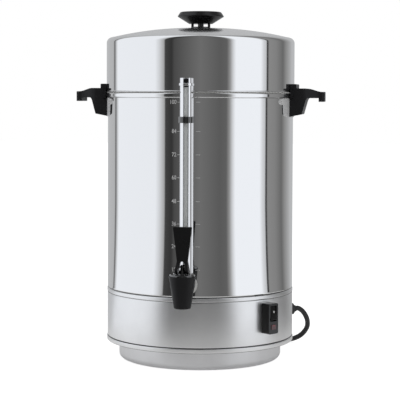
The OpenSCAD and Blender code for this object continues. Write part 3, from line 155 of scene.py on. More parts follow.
class UrnStage(bpy.types.PropertyGroup):
    """The camera, the light and the studio round the urn."""

    azimuth: FloatProperty(
        name="Camera azimuth", description="Where the camera stands round the urn", unit="ROTATION",
        default=math.radians(7.5))
    distance: FloatProperty(
        name="Camera distance", description="From the urn's axis", default=2.053, unit="LENGTH")
    height: FloatProperty(name="Camera height", description="Above the table", default=0.382, unit="LENGTH")
    pitch: FloatProperty(
        name="Camera pitch", description="How far it looks down", unit="ROTATION", default=math.radians(2.0))
    roll: FloatProperty(
        name="Camera roll", description="Turn about its own line of sight", unit="ROTATION",
        default=math.radians(0.18))
    lens: FloatProperty(
        name="Lens", description="Focal length on a 36 mm frame", default=126.6, unit="CAMERA")
    world_level: FloatProperty(
        name="World level", description="Strength of the world on matt surfaces", default=0.55, min=0)
    floor_glow: FloatProperty(
        name="Floor glow", description="What the floor adds to its own light, so that it stays white",
        default=0.8, min=0)
    floor_mirrored: FloatProperty(
        name="Mirrored floor glow", description="What the floor adds to its own light where metal mirrors it",
        default=0.2, min=0)
    lamp_power: FloatProperty(
        name="Lamp power", description="Power of the overhead soft lamp", default=16, unit="POWER")


# ------------------------ mesh helpers

def arc(centre, radius, start, end, steps=8):
    """Points of a circular arc: the centre plus radius times the cosine and sine of evenly spaced angles."""
    a = np.radians(np.linspace(start, end, steps + 1))
    return np.stack([centre[0] + radius * np.cos(a), centre[1] + radius * np.sin(a)], -1)


def rounded(corner, radius, start, end, steps=8):
    """The quarter arc that rounds an outline's corner: its centre lies one radius back from the corner both
    ways, against the direction of the arc's middle."""
    middle = math.radians((start + end) / 2)
    centre = np.array(corner) - radius * np.sign([math.cos(middle), math.sin(middle)])
    return arc(centre, radius, start, end, steps)


def outline(*parts):
    """Joins points and stretches of points into one (radius, height) outline."""
    return np.concatenate([np.atleast_2d(np.array(part, float)) for part in parts])


def ring_quads(rings, sides, closed=False):
    """Four-sided faces between rings of points: two neighbours on a ring with the same two on the next, and
    from the last ring back to the first where the shape is closed."""
    i, j = np.meshgrid(np.arange(rings if closed else rings - 1), np.arange(sides), indexing="ij")
    below, beside = (i + 1) % rings, (j + 1) % sides
    quads = np.stack([i * sides + j, i * sides + beside, below * sides + beside, below * sides + j], -1)
    return quads.reshape(-1, 4).tolist()


def settle(name, vertices, faces, smooth=True):
    """A mesh object at the origin, with doubled points merged and faces turned outwards."""
    mesh = bpy.data.meshes.new(name)
    mesh.from_pydata(vertices, [], faces)
    work = bmesh.new()
    work.from_mesh(mesh)
    bmesh.ops.remove_doubles(work, verts=work.verts, dist=1e-7)
    bmesh.ops.dissolve_degenerate(work, edges=work.edges, dist=1e-8)
    bmesh.ops.recalc_face_normals(work, faces=work.faces)
    work.to_mesh(mesh)
    work.free()
    if smooth:
        mesh.shade_smooth()
    else:
        mesh.shade_flat()
    piece = bpy.data.objects.new(name, mesh)
    bpy.context.scene.collection.objects.link(piece)
    return piece


def lathe(name, profile, reshape=None):
    """A turned piece. A profile point (r, z) turned by angle a stands at (r sin a, -r cos a, z), so that a
    is the azimuth; the profile is closed on itself, or starts and ends on the axis. reshape may change r by
    azimuth."""
    steps = bpy.context.scene.urn_shape.segments
    profile = np.asarray(profile, float) * MM
    a = np.arange(steps) * 2 * np.pi / steps
    r = np.repeat(profile[:, :1], steps, 1)
    z = np.repeat(profile[:, 1:], steps, 1)
    if reshape is not None:
        r = reshape(r, a)
    points = np.stack([r * np.sin(a), -r * np.cos(a), z], -1).reshape(-1, 3)
    on_itself = profile[0, 0] > 0
    piece = settle(name, points.tolist(), ring_quads(len(profile), steps, closed=on_itself))
    even_shading(piece)
    return piece


def per_face(piece, attribute):
    """An array with one row for each face of a mesh, its centre or its normal."""
    values = np.zeros(len(piece.data.polygons) * 3)
    piece.data.polygons.foreach_get(attribute, values)
    return values.reshape(-1, 3)


def even_shading(piece):
    """Weights normals by face area, so that flat stretches stay flat beside their rounded edges."""
    shading = piece.modifiers.new("Even shading", "WEIGHTED_NORMAL")
    shading.keep_sharp = False


# Triangles of solids are welded within this distance, and edges that bend more than these degrees are rolled
WELD_WITHIN, ROLL_LIMIT = 0.00001, 28


def soften(node, width):
    """Welds a solid's triangles and rolls its sharp edges over, on modifiers only: each edge that bends
    more than the limit becomes a bevel of that width."""
    piece = NODES[node]
    if "custom_normal" in piece.data.attributes:
        piece.data.attributes.remove(piece.data.attributes["custom_normal"])
    piece.data.shade_smooth()
    weld = piece.modifiers.new("Weld", "WELD")
    weld.merge_threshold = WELD_WITHIN
    bevel = piece.modifiers.new("Rolled edges", "BEVEL")
    bevel.width = width
    bevel.segments = 3
    bevel.limit_method = "ANGLE"
    bevel.angle_limit = math.radians(ROLL_LIMIT)
    even_shading(piece)


def smooth_path(points, steps):
    """A curve through all points: between each two, the cubic blend of them and their neighbours."""
    p = np.asarray(points, float)
    p = np.concatenate([2 * p[:1] - p[1:2], p, 2 * p[-1:] - p[-2:-1]])
    before, start, end, after = p[:-3, None], p[1:-2, None], p[2:-1, None], p[3:, None]
    t = np.linspace(0, 1, steps, endpoint=False)[None, :, None]
    blend = 0.5 * (2 * start + (end - before) * t + (2 * before - 5 * start + 4 * end - after) * t**2
                   + (3 * start - before - 3 * end + after) * t**3)
    return np.concatenate([blend.reshape(-1, 3), p[-2:-1]])


def at_azimuth(azimuth, r, side=0.0, z=0.0):
    """Points r from the axis at an azimuth, moved to the right by side: r along the azimuth's own direction
    plus side along the one a quarter turn further."""
    a = math.radians(azimuth)
    r, side, z = np.broadcast_arrays(r, side, z)
    return np.stack([r * math.sin(a) + side * math.cos(a), -r * math.cos(a) + side * math.sin(a), z], -1)


# ------------------------ material helpers

# Noise mostly stays between these two levels, and a colour Mix node's sockets go by number
NOISE_LOW, NOISE_HIGH = 0.3, 0.7
MIX_FROM, MIX_TO, MIX_RESULT = 6, 7, 2


def add_node(tree, kind, **values):
    """Adds a node of that kind to a tree, with these settings."""
    made = tree.nodes.new(kind)
    for key, value in values.items():
        setattr(made, key, value)
    return made


def wire(tree, *pairs):
    """Links the first socket of each pair to its second."""
    for source, target in pairs:
        tree.links.new(source, target)


def empty_tree(owner):
    """The node tree of a material or a world, emptied."""
    owner.use_nodes = True
    owner.node_tree.nodes.clear()
    return owner.node_tree


class Finish:
    """A material with one Principled shader, and small helpers that wire patterns into it."""

    def __init__(self, name, colour, roughness, metallic=0.0, **sockets):
        """Sets the named sockets: coat_weight sets Coat Weight, and so on."""
        self.material = bpy.data.materials.new(name)
        self.material.use_nodes = True
        self.tree = self.material.node_tree
        self.shader = self.tree.nodes["Principled BSDF"]
        self.set("Base Color", (*colour, 1))
        self.set("Roughness", roughness)
        self.set("Metallic", metallic)
        for socket, value in sockets.items():
            self.set(socket.replace("_", " ").title().replace("Ior", "IOR"), value)

    def set(self, socket, value):
        """Puts a constant on a socket of the shader."""
        self.shader.inputs[socket].default_value = value

    def node(self, kind, **values):
        """Adds a node to the material."""
        return add_node(self.tree, kind, **values)

    def link(self, source, target):
        """Links one socket to another."""
        wire(self.tree, (source, target))

    def noise(self, size, stretch=(1, 1, 1), detail=3):
        """Noise whose patches are about size metres across, times stretch along each axis."""
        place = self.node("ShaderNodeTexCoord")
        mapping = self.node("ShaderNodeMapping")
        mapping.inputs["Scale"].default_value = [1 / s for s in stretch]
        pattern = self.node("ShaderNodeTexNoise")
        pattern.inputs["Scale"].default_value = 1 / size
        pattern.inputs["Detail"].default_value = detail
        pattern.inputs["Roughness"].default_value = 0.55
        self.link(place.outputs["Object"], mapping.inputs["Vector"])
        self.link(mapping.outputs["Vector"], pattern.inputs["Vector"])
        return pattern.outputs["Fac"]

    def spread(self, source, low, high, socket):
        """Sends a pattern, spread between two values or colours, to a socket of the shader."""
        if isinstance(low, tuple):
            ramp = self.node("ShaderNodeValToRGB")
            ends = zip(ramp.color_ramp.elements, (NOISE_LOW, NOISE_HIGH), (low, high))
            for element, position, colour in ends:
                element.position = position
                element.color = (*colour, 1)
            self.link(source, ramp.inputs["Fac"])
            self.link(ramp.outputs["Color"], self.shader.inputs[socket])
            return
        stretch = self.node("ShaderNodeMapRange")
        stretch.inputs["From Min"].default_value = NOISE_LOW
        stretch.inputs["From Max"].default_value = NOISE_HIGH
        stretch.inputs["To Min"].default_value = low
        stretch.inputs["To Max"].default_value = high
        self.link(source, stretch.inputs["Value"])
        self.link(stretch.outputs["Result"], self.shader.inputs[socket])

    def crease(self, height, half_width, shade):
        """Paints shade into a narrow band round the axis: where a point's height is within half_width of
        this one, in millimetres, the colour is this shade of grey, a painted dark line where shade falls."""
        place, split = self.node("ShaderNodeTexCoord"), self.node("ShaderNodeSeparateXYZ")
        near = self.node("ShaderNodeMath", operation="COMPARE")
        near.inputs[1].default_value = height * MM
        near.inputs[2].default_value = half_width * MM
        mix = self.node("ShaderNodeMix", data_type="RGBA")
        colour = self.shader.inputs["Base Color"]
        mix.inputs[MIX_FROM].default_value = colour.default_value
        mix.inputs[MIX_TO].default_value = (shade, shade, shade, 1)
        if colour.is_linked:
            self.link(colour.links[0].from_socket, mix.inputs[MIX_FROM])
        self.link(place.outputs["Object"], split.inputs[0])
        self.link(split.outputs["Z"], near.inputs[0])
        self.link(near.outputs[0], mix.inputs[0])
        self.link(mix.outputs[MIX_RESULT], colour)

    def bump(self, source, depth, strength=1.0):
        """Raises the surface by a pattern, up to depth metres."""
        relief = self.node("ShaderNodeBump")
        relief.inputs["Strength"].default_value = strength
        relief.inputs["Distance"].default_value = depth
        self.link(source, relief.inputs["Height"])
        self.link(relief.outputs["Normal"], self.shader.inputs["Normal"])


# ------------------------ finishes

def polished_aluminium(name):
    """Bright drawn sheet: a cloudy noise shifts its roughness like faint wipe marks, a noise drawn out
    upright raises fine streaks, and painted shade darkens thin lines above the seam and under the bead."""
    finish = bpy.context.scene.urn_finish
    made = Finish(name, finish.aluminium, finish.polish, metallic=1.0)
    streaks = made.noise(0.0011, stretch=(1, 1, 60), detail=2)
    cloud = made.noise(0.06, stretch=(1, 1, 2.5))
    made.spread(cloud, finish.polish * 0.8, finish.polish * 1.25, "Roughness")
    made.bump(streaks, depth=0.0000003)
    # Painted shade: dark lines in the colour just above the seam and under the bead
    made.crease(SEAM_Z + 0.7, half_width=0.8, shade=0.10)
    made.crease(BEAD_Z - 0.1, half_width=0.4, shade=0.5)
    return made.material


def spun_dome(name):
    """Aluminium sheet spun on a lathe: its tangent runs round the axis, so that its rings spread every
    reflection along the radius."""
    made = Finish(name, bpy.context.scene.urn_finish.aluminium, 0.16, metallic=1.0, anisotropic=0.5)
    rings = made.node("ShaderNodeTangent", direction_type="RADIAL", axis="Z")
    made.link(rings.outputs["Tangent"], made.shader.inputs["Tangent"])
    made.spread(made.noise(0.03), 0.15, 0.18, "Roughness")
    return made.material


def etched_inside(name):
    """The etched inside of the tank and lid, a dull pale grey whose roughness drifts with noise."""
    made = Finish(name, (0.78, 0.78, 0.78), 0.42, metallic=0.45)
    made.spread(made.noise(0.012, stretch=(1, 1, 2)), 0.36, 0.48, "Roughness")
    return made.material


def satin_aluminium(name, colour, stretch, grain, roughness=None, metallic=1.0):
    """Brushed sheet: noise drawn out along the brushing streaks its roughness and surface, a broader noise
    drifts its colour, and painted shade darkens the skirt's groove, its foot and the groove under its bead."""
    roughness = roughness or bpy.context.scene.urn_finish.satin
    made = Finish(name, colour, roughness, metallic)
    streaks = made.noise(0.0009, stretch)
    made.spread(streaks, roughness * 0.93, roughness * 1.07, "Roughness")
    made.spread(made.noise(0.03), tuple(0.94 * c for c in colour), tuple(colour), "Base Color")
    made.bump(streaks, grain)
    # Painted shade: dark lines in the colour at the groove, the skirt's foot and under the step's bead
    made.crease(SKIRT_Z + BAND_H + GROOVE / 2, half_width=0.75, shade=0.08)
    for height in (SKIRT_Z + 0.3, SEAM_Z - STEP_H - GROOVE / 2):
        made.crease(height, half_width=0.5, shade=0.3)
    return made.material


def moulded_black(name, roughness, coat, grain, shine=0.28, lift=1.0):
    """Moulded black plastic: faint orange peel from a fine noise under a thin gloss, with a broader noise
    that drifts its roughness. lift multiplies the colour."""
    colour = [lift * c for c in bpy.context.scene.urn_finish.plastic]
    made = Finish(
        name, colour, roughness, coat_weight=coat, coat_roughness=roughness * 0.5, specular_ior_level=shine)
    made.spread(made.noise(0.02), roughness * 0.85, roughness * 1.2, "Roughness")
    made.bump(made.noise(grain), depth=0.00001, strength=0.35)
    return made.material


def bare_metal(name, colour, roughness, size=0.0008):
    """Turned or pressed metal: one fine noise gives the grain in its roughness and surface."""
    made = Finish(name, colour, roughness, metallic=1.0)
    grain = made.noise(size)
    made.spread(grain, roughness * 0.8, roughness * 1.25, "Roughness")
    made.bump(grain, depth=0.000003)
    return made.material


def soft_silicone(name):
    """Milky silicone: a little light goes 2 mm into it, and a fine noise makes its surface dull."""
    made = Finish(name, (0.80, 0.80, 0.78), 0.45, subsurface_weight=0.25)
    made.set("Subsurface Radius", (0.002, 0.002, 0.002))
    made.bump(made.noise(0.0006), depth=0.000008)
    return made.material


def tube_glass(name):
    """The gauge's glass tube, partly clear, with a noise drawn out upright that smears its shine."""
    made = Finish(name, (0.70, 0.72, 0.72), 0.06, ior=1.5, transmission_weight=0.35)
    made.spread(made.noise(0.02, stretch=(1, 1, 6)), 0.04, 0.09, "Roughness")
    return made.material


def lit_lens(name):
    """Dark red lens with a soft bright spot above its middle, a painted glint, and a faint glow of the lit
    lamp in the same colour: the colour rises from dark to full as the distance to the spot falls from
    its edge to its core."""
    rise, core, edge, dark = 0.0022, 0.0012, 0.004, 0.12
    colour = bpy.context.scene.urn_finish.lamp
    corners = np.array(NODES["switch_lamp_lens"].bound_box)
    made = Finish(name, colour, 0.12, coat_weight=0.6, emission_strength=0.12)
    place = made.node("ShaderNodeTexCoord")
    distance = made.node("ShaderNodeVectorMath", operation="DISTANCE")
    distance.inputs[1].default_value = (corners.min(0) + corners.max(0)) / 2 + (0, 0, rise)
    made.link(place.outputs["Object"], distance.inputs[0])
    # The painted glint: full colour within its core, fading to dark at its edge
    spot = made.node("ShaderNodeMapRange")
    spot.inputs["From Min"].default_value = edge
    spot.inputs["From Max"].default_value = core
    made.link(distance.outputs["Value"], spot.inputs["Value"])
    made.spread(spot.outputs["Result"], tuple(dark * c for c in colour), tuple(colour), "Base Color")
    # The emission takes the same colour, so that the painted glint glows too
    made.link(made.shader.inputs["Base Color"].links[0].from_socket, made.shader.inputs["Emission Color"])
    made.bump(made.noise(0.0016), depth=0.00003)
    return made.material


def matt_material(name, colour, roughness, size=0.001):
    """Dull moulded or glazed material: one noise mottles its colour and surface."""
    made = Finish(name, colour, roughness)
    mottle = made.noise(size)
    made.spread(mottle, tuple(0.85 * c for c in colour), tuple(min(1, 1.1 * c) for c in colour), "Base Color")
    made.bump(mottle, depth=0.00002, strength=0.5)
    return made.material


def cord_rubber(name):
    """Black rubber: a broad noise scuffs its colour, and a fine one gives its matt grain."""
    made = Finish(name, (0.010, 0.010, 0.011), 0.42)
    made.spread(made.noise(0.012), (0.008, 0.008, 0.009), (0.016, 0.016, 0.017), "Base Color")
    made.bump(made.noise(0.0007), depth=0.00002, strength=0.5)
    return made.material


def ink(name):
    """Printing ink whose dullness drifts with noise."""
    made = Finish(name, bpy.context.scene.urn_finish.ink, 0.5)
    made.spread(made.noise(0.004), 0.42, 0.6, "Roughness")
    return made.material


# Each finish with the function that makes it and the values it is made with
FINISHES = {
    "polished_aluminium": (polished_aluminium, {}),
    "spun_dome": (spun_dome, {}),
    "etched_inside": (etched_inside, {}),
    "satin_aluminium": (
        satin_aluminium, dict(colour=(0.88, 0.88, 0.88), stretch=(1, 1, 40), grain=0.0000004)),
    "spun_aluminium": (
        satin_aluminium, dict(colour=(0.80, 0.80, 0.81), stretch=(12, 12, 1), grain=0.0000015)),
    "bracket_satin": (satin_aluminium, dict(
        colour=(0.80, 0.80, 0.80), stretch=(1, 1, 1), grain=0.000004, roughness=0.4, metallic=0.35)),
    "chrome_plate": (bare_metal, dict(colour=(0.88, 0.88, 0.89), roughness=0.05, size=0.003)),
    "stainless_steel": (bare_metal, dict(colour=(0.62, 0.61, 0.60), roughness=0.24)),
    "zinc_steel": (bare_metal, dict(colour=(0.56, 0.57, 0.58), roughness=0.36)),
    "black_phenolic": (moulded_black, dict(roughness=0.30, coat=0.15, grain=0.0012)),
    "dull_phenolic": (
        moulded_black, dict(roughness=0.40, coat=0.04, grain=0.0012, shine=0.12, lift=2.4)),
    "glossy_phenolic": (moulded_black, dict(roughness=0.07, coat=1.0, grain=0.002, shine=1.0)),
    "switch_black": (moulded_black, dict(roughness=0.14, coat=0.4, grain=0.002)),
    "switch_grey": (matt_material, dict(colour=(0.04, 0.04, 0.045), roughness=0.5)),
    "silicone": (soft_silicone, {}),
    "tube_glass": (tube_glass, {}),
    "lit_lens": (lit_lens, {}),
    "terminal_cream": (matt_material, dict(colour=(0.72, 0.68, 0.55), roughness=0.45)),
    "fuse_ceramic": (matt_material, dict(colour=(0.30, 0.24, 0.20), roughness=0.35)),
    "wire_sleeve": (matt_material, dict(colour=(0.22, 0.05, 0.03), roughness=0.6, size=0.0006)),
    "cord_rubber": (cord_rubber, {}),
    "ink": (ink, {}),
}
MATERIALS = {}


def finish_named(name):
    """The material of that name, made on its first use."""
    if name not in MATERIALS:
        maker, values = FINISHES[name]
        MATERIALS[name] = maker(name, **values)
    return MATERIALS[name]


def dress(piece, finish, body):
    """Gives a new piece its finish and its body."""
    piece.data.materials.append(finish_named(finish))
    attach(piece, body)


# ------------------------ stage

# The camera's frame in millimetres and its shift, and the floor's half width, its drop and its shade
FRAME_WIDTH, SHIFT_X, SHIFT_Y = 36, -0.001, -0.1393
FLOOR_HALF, FLOOR_DROP, FLOOR_SHADE = 9, 0.0004, 0.62

# Brightness of the studio wall by degrees to the right of the camera: a polished drum shows it at half that
WALL_LEVELS = [
    (-180, 0.51), (-166, 0.53), (-130, 0.50), (-126.5, 0.10), (-122.5, 0.60), (-118, 0.96),
    (-55, 0.95), (-49, 0.70), (-43.6, 0.42), (-42.4, 0.06), (-34, 0.037), (-31, 0.075),
    (-15, 0.125), (0, 0.17), (23, 0.116), (31, 0.13), (35, 0.33), (38, 0.66), (42, 1.0), (76, 1.0),
    (81, 0.70), (84.3, 0.64), (85.1, 0.03), (87.1, 0.03), (88.7, 0.28), (102, 0.25), (117, 0.155),
    (125, 0.28), (146, 0.52), (180, 0.51),
]

# The wall's strength, and what its panels add to red, green and blue, from none at one level to all at one
WALL_STRENGTH, COOL_TINT, COOL_FROM, COOL_FULL = 1.2, (-0.028, 0, 0.048), 0.3, 0.8

# The wall's outline in millimetres: ceiling, wall and a floor that ends beside the urn, then back outside
WALL_OUTLINE = [
    (0, 2200), (2900, 2150), (3000, 2000), (3000, 60), (2950, 3), (360, 3), (360, 1), (2950, 1),
    (3020, 40), (3020, 2050), (2920, 2180), (0, 2230),
]

# Soft lamps: where each stands, its width, and its share of the lamp power; and the point that they face
LAMPS = {"overhead": ((-0.7, -1.1, 2.4), 1.8, 1.0), "side": ((2.0, -1.4, 1.3), 1.4, 0.5)}
LAMP_AIM = (0, 0, 0.25)


def stage_piece(piece, material):
    """Gives a piece of the studio its material."""
    piece.data.materials.append(material)


class URN_OT_stage(bpy.types.Operator):
    """Sets the camera, the white surround, the studio wall that the metal mirrors, the floor and the lamps"""

    bl_idname = "urn.stage"
    bl_label = "Stage"

    def execute(self, context):
        stage = context.scene.urn_stage
        context.scene.view_settings.view_transform = "Standard"
        self.camera(context, stage)
        self.world(context, stage)
        self.floor(stage)
        self.wall(stage)
        self.lamps(context, stage)
        return {"FINISHED"}

    def camera(self, context, stage):
        """Stands the camera at its distance and azimuth, facing the axis, pitched down and rolled about its
        own line of sight."""
        camera = bpy.data.objects.new("camera", bpy.data.cameras.new("camera"))
        context.scene.collection.objects.link(camera)
        context.scene.camera = camera
        camera.location = (
            stage.distance * math.sin(stage.azimuth), -stage.distance * math.cos(stage.azimuth), stage.height)
        look = Euler((math.pi / 2 - stage.pitch, 0, stage.azimuth)).to_matrix()
        camera.rotation_euler = (look @ Euler((0, 0, stage.roll)).to_matrix()).to_euler()
        camera.data.lens = stage.lens
        camera.data.sensor_width = FRAME_WIDTH
        camera.data.shift_x = SHIFT_X
        camera.data.shift_y = SHIFT_Y

    def world(self, context, stage):
        """White for the camera, mirrors and glass, and a plain level for everything matt: the larger of the
        three kinds of ray mixes the white background over the plain one."""
        world = bpy.data.worlds.new("surround")
        context.scene.world = world
        tree = empty_tree(world)
        white, plain = add_node(tree, "ShaderNodeBackground"), add_node(tree, "ShaderNodeBackground")
        for background in (white, plain):
            background.inputs["Color"].default_value = (1, 1, 1, 1)
        plain.inputs["Strength"].default_value = stage.world_level
        path, mix = add_node(tree, "ShaderNodeLightPath"), add_node(tree, "ShaderNodeMixShader")
        output = add_node(tree, "ShaderNodeOutputWorld")
        seen = add_node(tree, "ShaderNodeMath", operation="MAXIMUM")
        seen_or_through = add_node(tree, "ShaderNodeMath", operation="MAXIMUM")
        wire(
            tree, (path.outputs["Is Camera Ray"], seen.inputs[0]),
            (path.outputs["Is Glossy Ray"], seen.inputs[1]), (seen.outputs[0], seen_or_through.inputs[0]),
            (path.outputs["Is Transmission Ray"], seen_or_through.inputs[1]),
            (seen_or_through.outputs[0], mix.inputs["Fac"]), (plain.outputs[0], mix.inputs[1]),
            (white.outputs[0], mix.inputs[2]), (mix.outputs[0], output.inputs["Surface"]))

    def floor(self, stage):
        """A pale sheet that keeps the urn's soft shadow and is otherwise as white as the surround: a matt
        shade plus a glow, one strength for the camera and a weaker one for mirrors."""
        half = FLOOR_HALF
        corners = [(-half, -half), (half, -half), (half, half), (-half, half)]
        sheet = settle("floor", [(x, y, -FLOOR_DROP) for x, y in corners], [(0, 1, 2, 3)])
        material = bpy.data.materials.new("pale_floor")
        tree = empty_tree(material)
        matt, glow = add_node(tree, "ShaderNodeBsdfDiffuse"), add_node(tree, "ShaderNodeEmission")
        matt.inputs["Color"].default_value = (FLOOR_SHADE, FLOOR_SHADE, FLOOR_SHADE, 1)
        path, both = add_node(tree, "ShaderNodeLightPath"), add_node(tree, "ShaderNodeAddShader")
        output = add_node(tree, "ShaderNodeOutputMaterial")
        mirrored = add_node(tree, "ShaderNodeMath", operation="MULTIPLY")
        mirrored.inputs[1].default_value = stage.floor_mirrored
        level = add_node(tree, "ShaderNodeMath", operation="MULTIPLY_ADD")
        level.inputs[1].default_value = stage.floor_glow
        wire(
            tree, (path.outputs["Is Glossy Ray"], mirrored.inputs[0]),
            (path.outputs["Is Camera Ray"], level.inputs[0]), (mirrored.outputs[0], level.inputs[2]),
            (level.outputs[0], glow.inputs["Strength"]), (matt.outputs[0], both.inputs[0]),
            (glow.outputs[0], both.inputs[1]), (both.outputs[0], output.inputs["Surface"]))
        stage_piece(sheet, material)

    def wall(self, stage):
        """A round studio wall that only mirrors see, with panels of light and dark by azimuth: a point is
        turned back by the camera's azimuth, and the angle of (x, -y) then picks its level from the ramp."""
        wall = lathe("studio_wall", WALL_OUTLINE)
        material = bpy.data.materials.new("studio_panels")
        tree = empty_tree(material)
        place, split = add_node(tree, "ShaderNodeTexCoord"), add_node(tree, "ShaderNodeSeparateXYZ")
        turn = add_node(tree, "ShaderNodeVectorRotate", rotation_type="Z_AXIS")
        turn.inputs["Angle"].default_value = -stage.azimuth
        back = add_node(tree, "ShaderNodeMath", operation="MULTIPLY")
        back.inputs[1].default_value = -1
        angle = add_node(tree, "ShaderNodeMath", operation="ARCTAN2")
        share = add_node(tree, "ShaderNodeMapRange")
        share.inputs["From Min"].default_value = -math.pi
        share.inputs["From Max"].default_value = math.pi
        panels, glow = add_node(tree, "ShaderNodeValToRGB"), add_node(tree, "ShaderNodeEmission")
        self.set_panels(panels.color_ramp.elements)
        glow.inputs["Strength"].default_value = WALL_STRENGTH
        output = add_node(tree, "ShaderNodeOutputMaterial")
        wire(
            tree, (place.outputs["Object"], turn.inputs["Vector"]), (turn.outputs[0], split.inputs[0]),
            (split.outputs["Y"], back.inputs[0]), (split.outputs["X"], angle.inputs[0]),
            (back.outputs[0], angle.inputs[1]), (angle.outputs[0], share.inputs["Value"]),
            (share.outputs["Result"], panels.inputs["Fac"]), (panels.outputs["Color"], glow.inputs["Color"]),
            (glow.outputs[0], output.inputs["Surface"]))
        stage_piece(wall, material)
        for rays in ("camera", "diffuse", "transmission", "shadow"):
            setattr(wall, f"visible_{rays}", False)

    def set_panels(self, stops):
        """Sets the ramp's stops, which start as two: each level at its share of the full turn, divided by
        the wall's strength and tinted the more the brighter it is."""
        for position, (degrees, level) in enumerate(WALL_LEVELS):
            at = (degrees + 180) / 360
            stop = stops[position] if position < 2 else stops.new(at)
            stop.position = at
            cool = min(1, max(0, (level - COOL_FROM) / (COOL_FULL - COOL_FROM)))
            stop.color = (*(level * (1 + cool * tint) / WALL_STRENGTH for tint in COOL_TINT), 1)

    def lamps(self, context, stage):
        """Two soft square lamps that face the urn and that mirrors don't see."""
        for name, (place, size, share) in LAMPS.items():
            lamp = bpy.data.objects.new(name, bpy.data.lights.new(name, "AREA"))
            context.scene.collection.objects.link(lamp)
            lamp.data.size = size
            lamp.data.energy = stage.lamp_power * share
            lamp.location = place
            lamp.visible_glossy = False
            lamp.rotation_euler = (Vector(place) - Vector(LAMP_AIM)).to_track_quat("Z", "Y").to_euler()


# ------------------------ cord

def coil_turns():
    """The coil's points: the radius eases from the outer to the inner turn and back, and the height eases
    from the lower to the upper layer, each over a stretch where no other turn is in the way."""
    a = np.arange(0, COIL_SWEEP + 1, COIL_STEP)

    def ease(start):
        """Half a cosine wave that rises from 0 to 1, COIL_EASE degrees long."""
        t = np.clip((a - start) / COIL_EASE, 0, 1)
        return 0.5 - 0.5 * np.cos(np.pi * t)

    r = COIL_OUTER + (COIL_INNER - COIL_OUTER) * (ease(COIL_INWARD) - ease(COIL_OUTWARD))
    z = CORD_R + 2 * CORD_R * ease(COIL_UP)
    turn = np.radians(a)
    return np.stack([COIL_AT[0] + r * np.cos(turn), COIL_AT[1] + r * np.sin(turn), z], -1)


class URN_OT_cord(bpy.types.Operator):
    """Lays the mains cord from its strain relief to the table and winds the rest into a coil"""

    bl_idname = "urn.cord"
    bl_label = "Cord"

    def execute(self, context):
        # A round tube along a smooth path through the lead, the coil and the tail, never below the table
        exit_point = at_azimuth(RELIEF_AZ, RELIEF_TIP_R, z=RELIEF_Z)
        path = smooth_path(np.concatenate([[exit_point], LEAD, coil_turns(), TAIL]), PATH_STEPS)
        path[:, 2] = np.maximum(path[:, 2], CORD_R)
        path *= MM
        curve = bpy.data.curves.new("mains_cord", "CURVE")
        curve.dimensions = "3D"
        spline = curve.splines.new("POLY")
        spline.points.add(len(path) - 1)
        spline.points.foreach_set("co", np.concatenate([path, np.ones((len(path), 1))], 1).ravel())
        spline.use_smooth = True
        curve.bevel_depth = CORD_R * MM
        curve.bevel_resolution = 5
        curve.use_fill_caps = True
        cord = bpy.data.objects.new("mains_cord", curve)
        context.scene.collection.objects.link(cord)
        dress(cord, "cord_rubber", "urn")
        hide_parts("cord", "cord_coil")
        return {"FINISHED"}


# ------------------------ turned metal

class URN_OT_tank(bpy.types.Operator):
    """Turns the tank with its beaded rim, floor, pump well and stud"""

    bl_idname = "urn.tank"
    bl_label = "Tank"

    def execute(self, context):
        # The outline runs up the inside from the well, over the bead, and down the outside to the stud
        inner, foot, floor_z = TANK_R - TANK_WALL, TANK_R - 2 * TANK_WALL, FLOOR_UNDER + FLOOR_T
        well_out, well_under = WELL_R + FLOOR_T, WELL_Z - FLOOR_T
        tank = lathe("tank_wall", outline(
            (0, WELL_Z), (WELL_R - WELL_EDGE, WELL_Z), rounded((WELL_R, floor_z), FLOOR_T, 180, 90),
            rounded((inner, floor_z), FLOOR_ROUND, -90, 0), (inner, TANK_RING_IN),
            (inner, RIM_Z - BEAD_ROUND), (inner, RIM_Z), rounded((BEAD_R, RIM_Z), BEAD_ROUND, 90, 0),
            rounded((BEAD_R, BEAD_Z), BEAD_ROUND, 0, -90), rounded((TANK_R, BEAD_Z), BEAD_FILLET, 90, 180, 4),
            (TANK_R, BEAD_Z - EDGE_RING), (TANK_R, TANK_RING_OUT), (TANK_R, SEAM_Z + EDGE_RING),
            (TANK_R, SEAM_Z), (foot, SEAM_Z), (foot, FLOOR_UNDER), (well_out, FLOOR_UNDER),
            (well_out, well_under), (STUD_R, well_under), (STUD_R, STUD_Z), (0, STUD_Z)))
        dress(tank, "polished_aluminium", "urn")
        tank.data.materials.append(finish_named("etched_inside"))
        # Faces above the floor and nearer the axis than the wall's middle are the inside
        centres = per_face(tank, "center")
        within = np.hypot(centres[:, 0], centres[:, 1]) < (inner + TANK_R) / 2 * MM
        inside = within & (centres[:, 2] > FLOOR_UNDER * MM)
        tank.data.polygons.foreach_set("material_index", inside.astype(int))
        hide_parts("tank", "tank_floor")
        return {"FINISHED"}


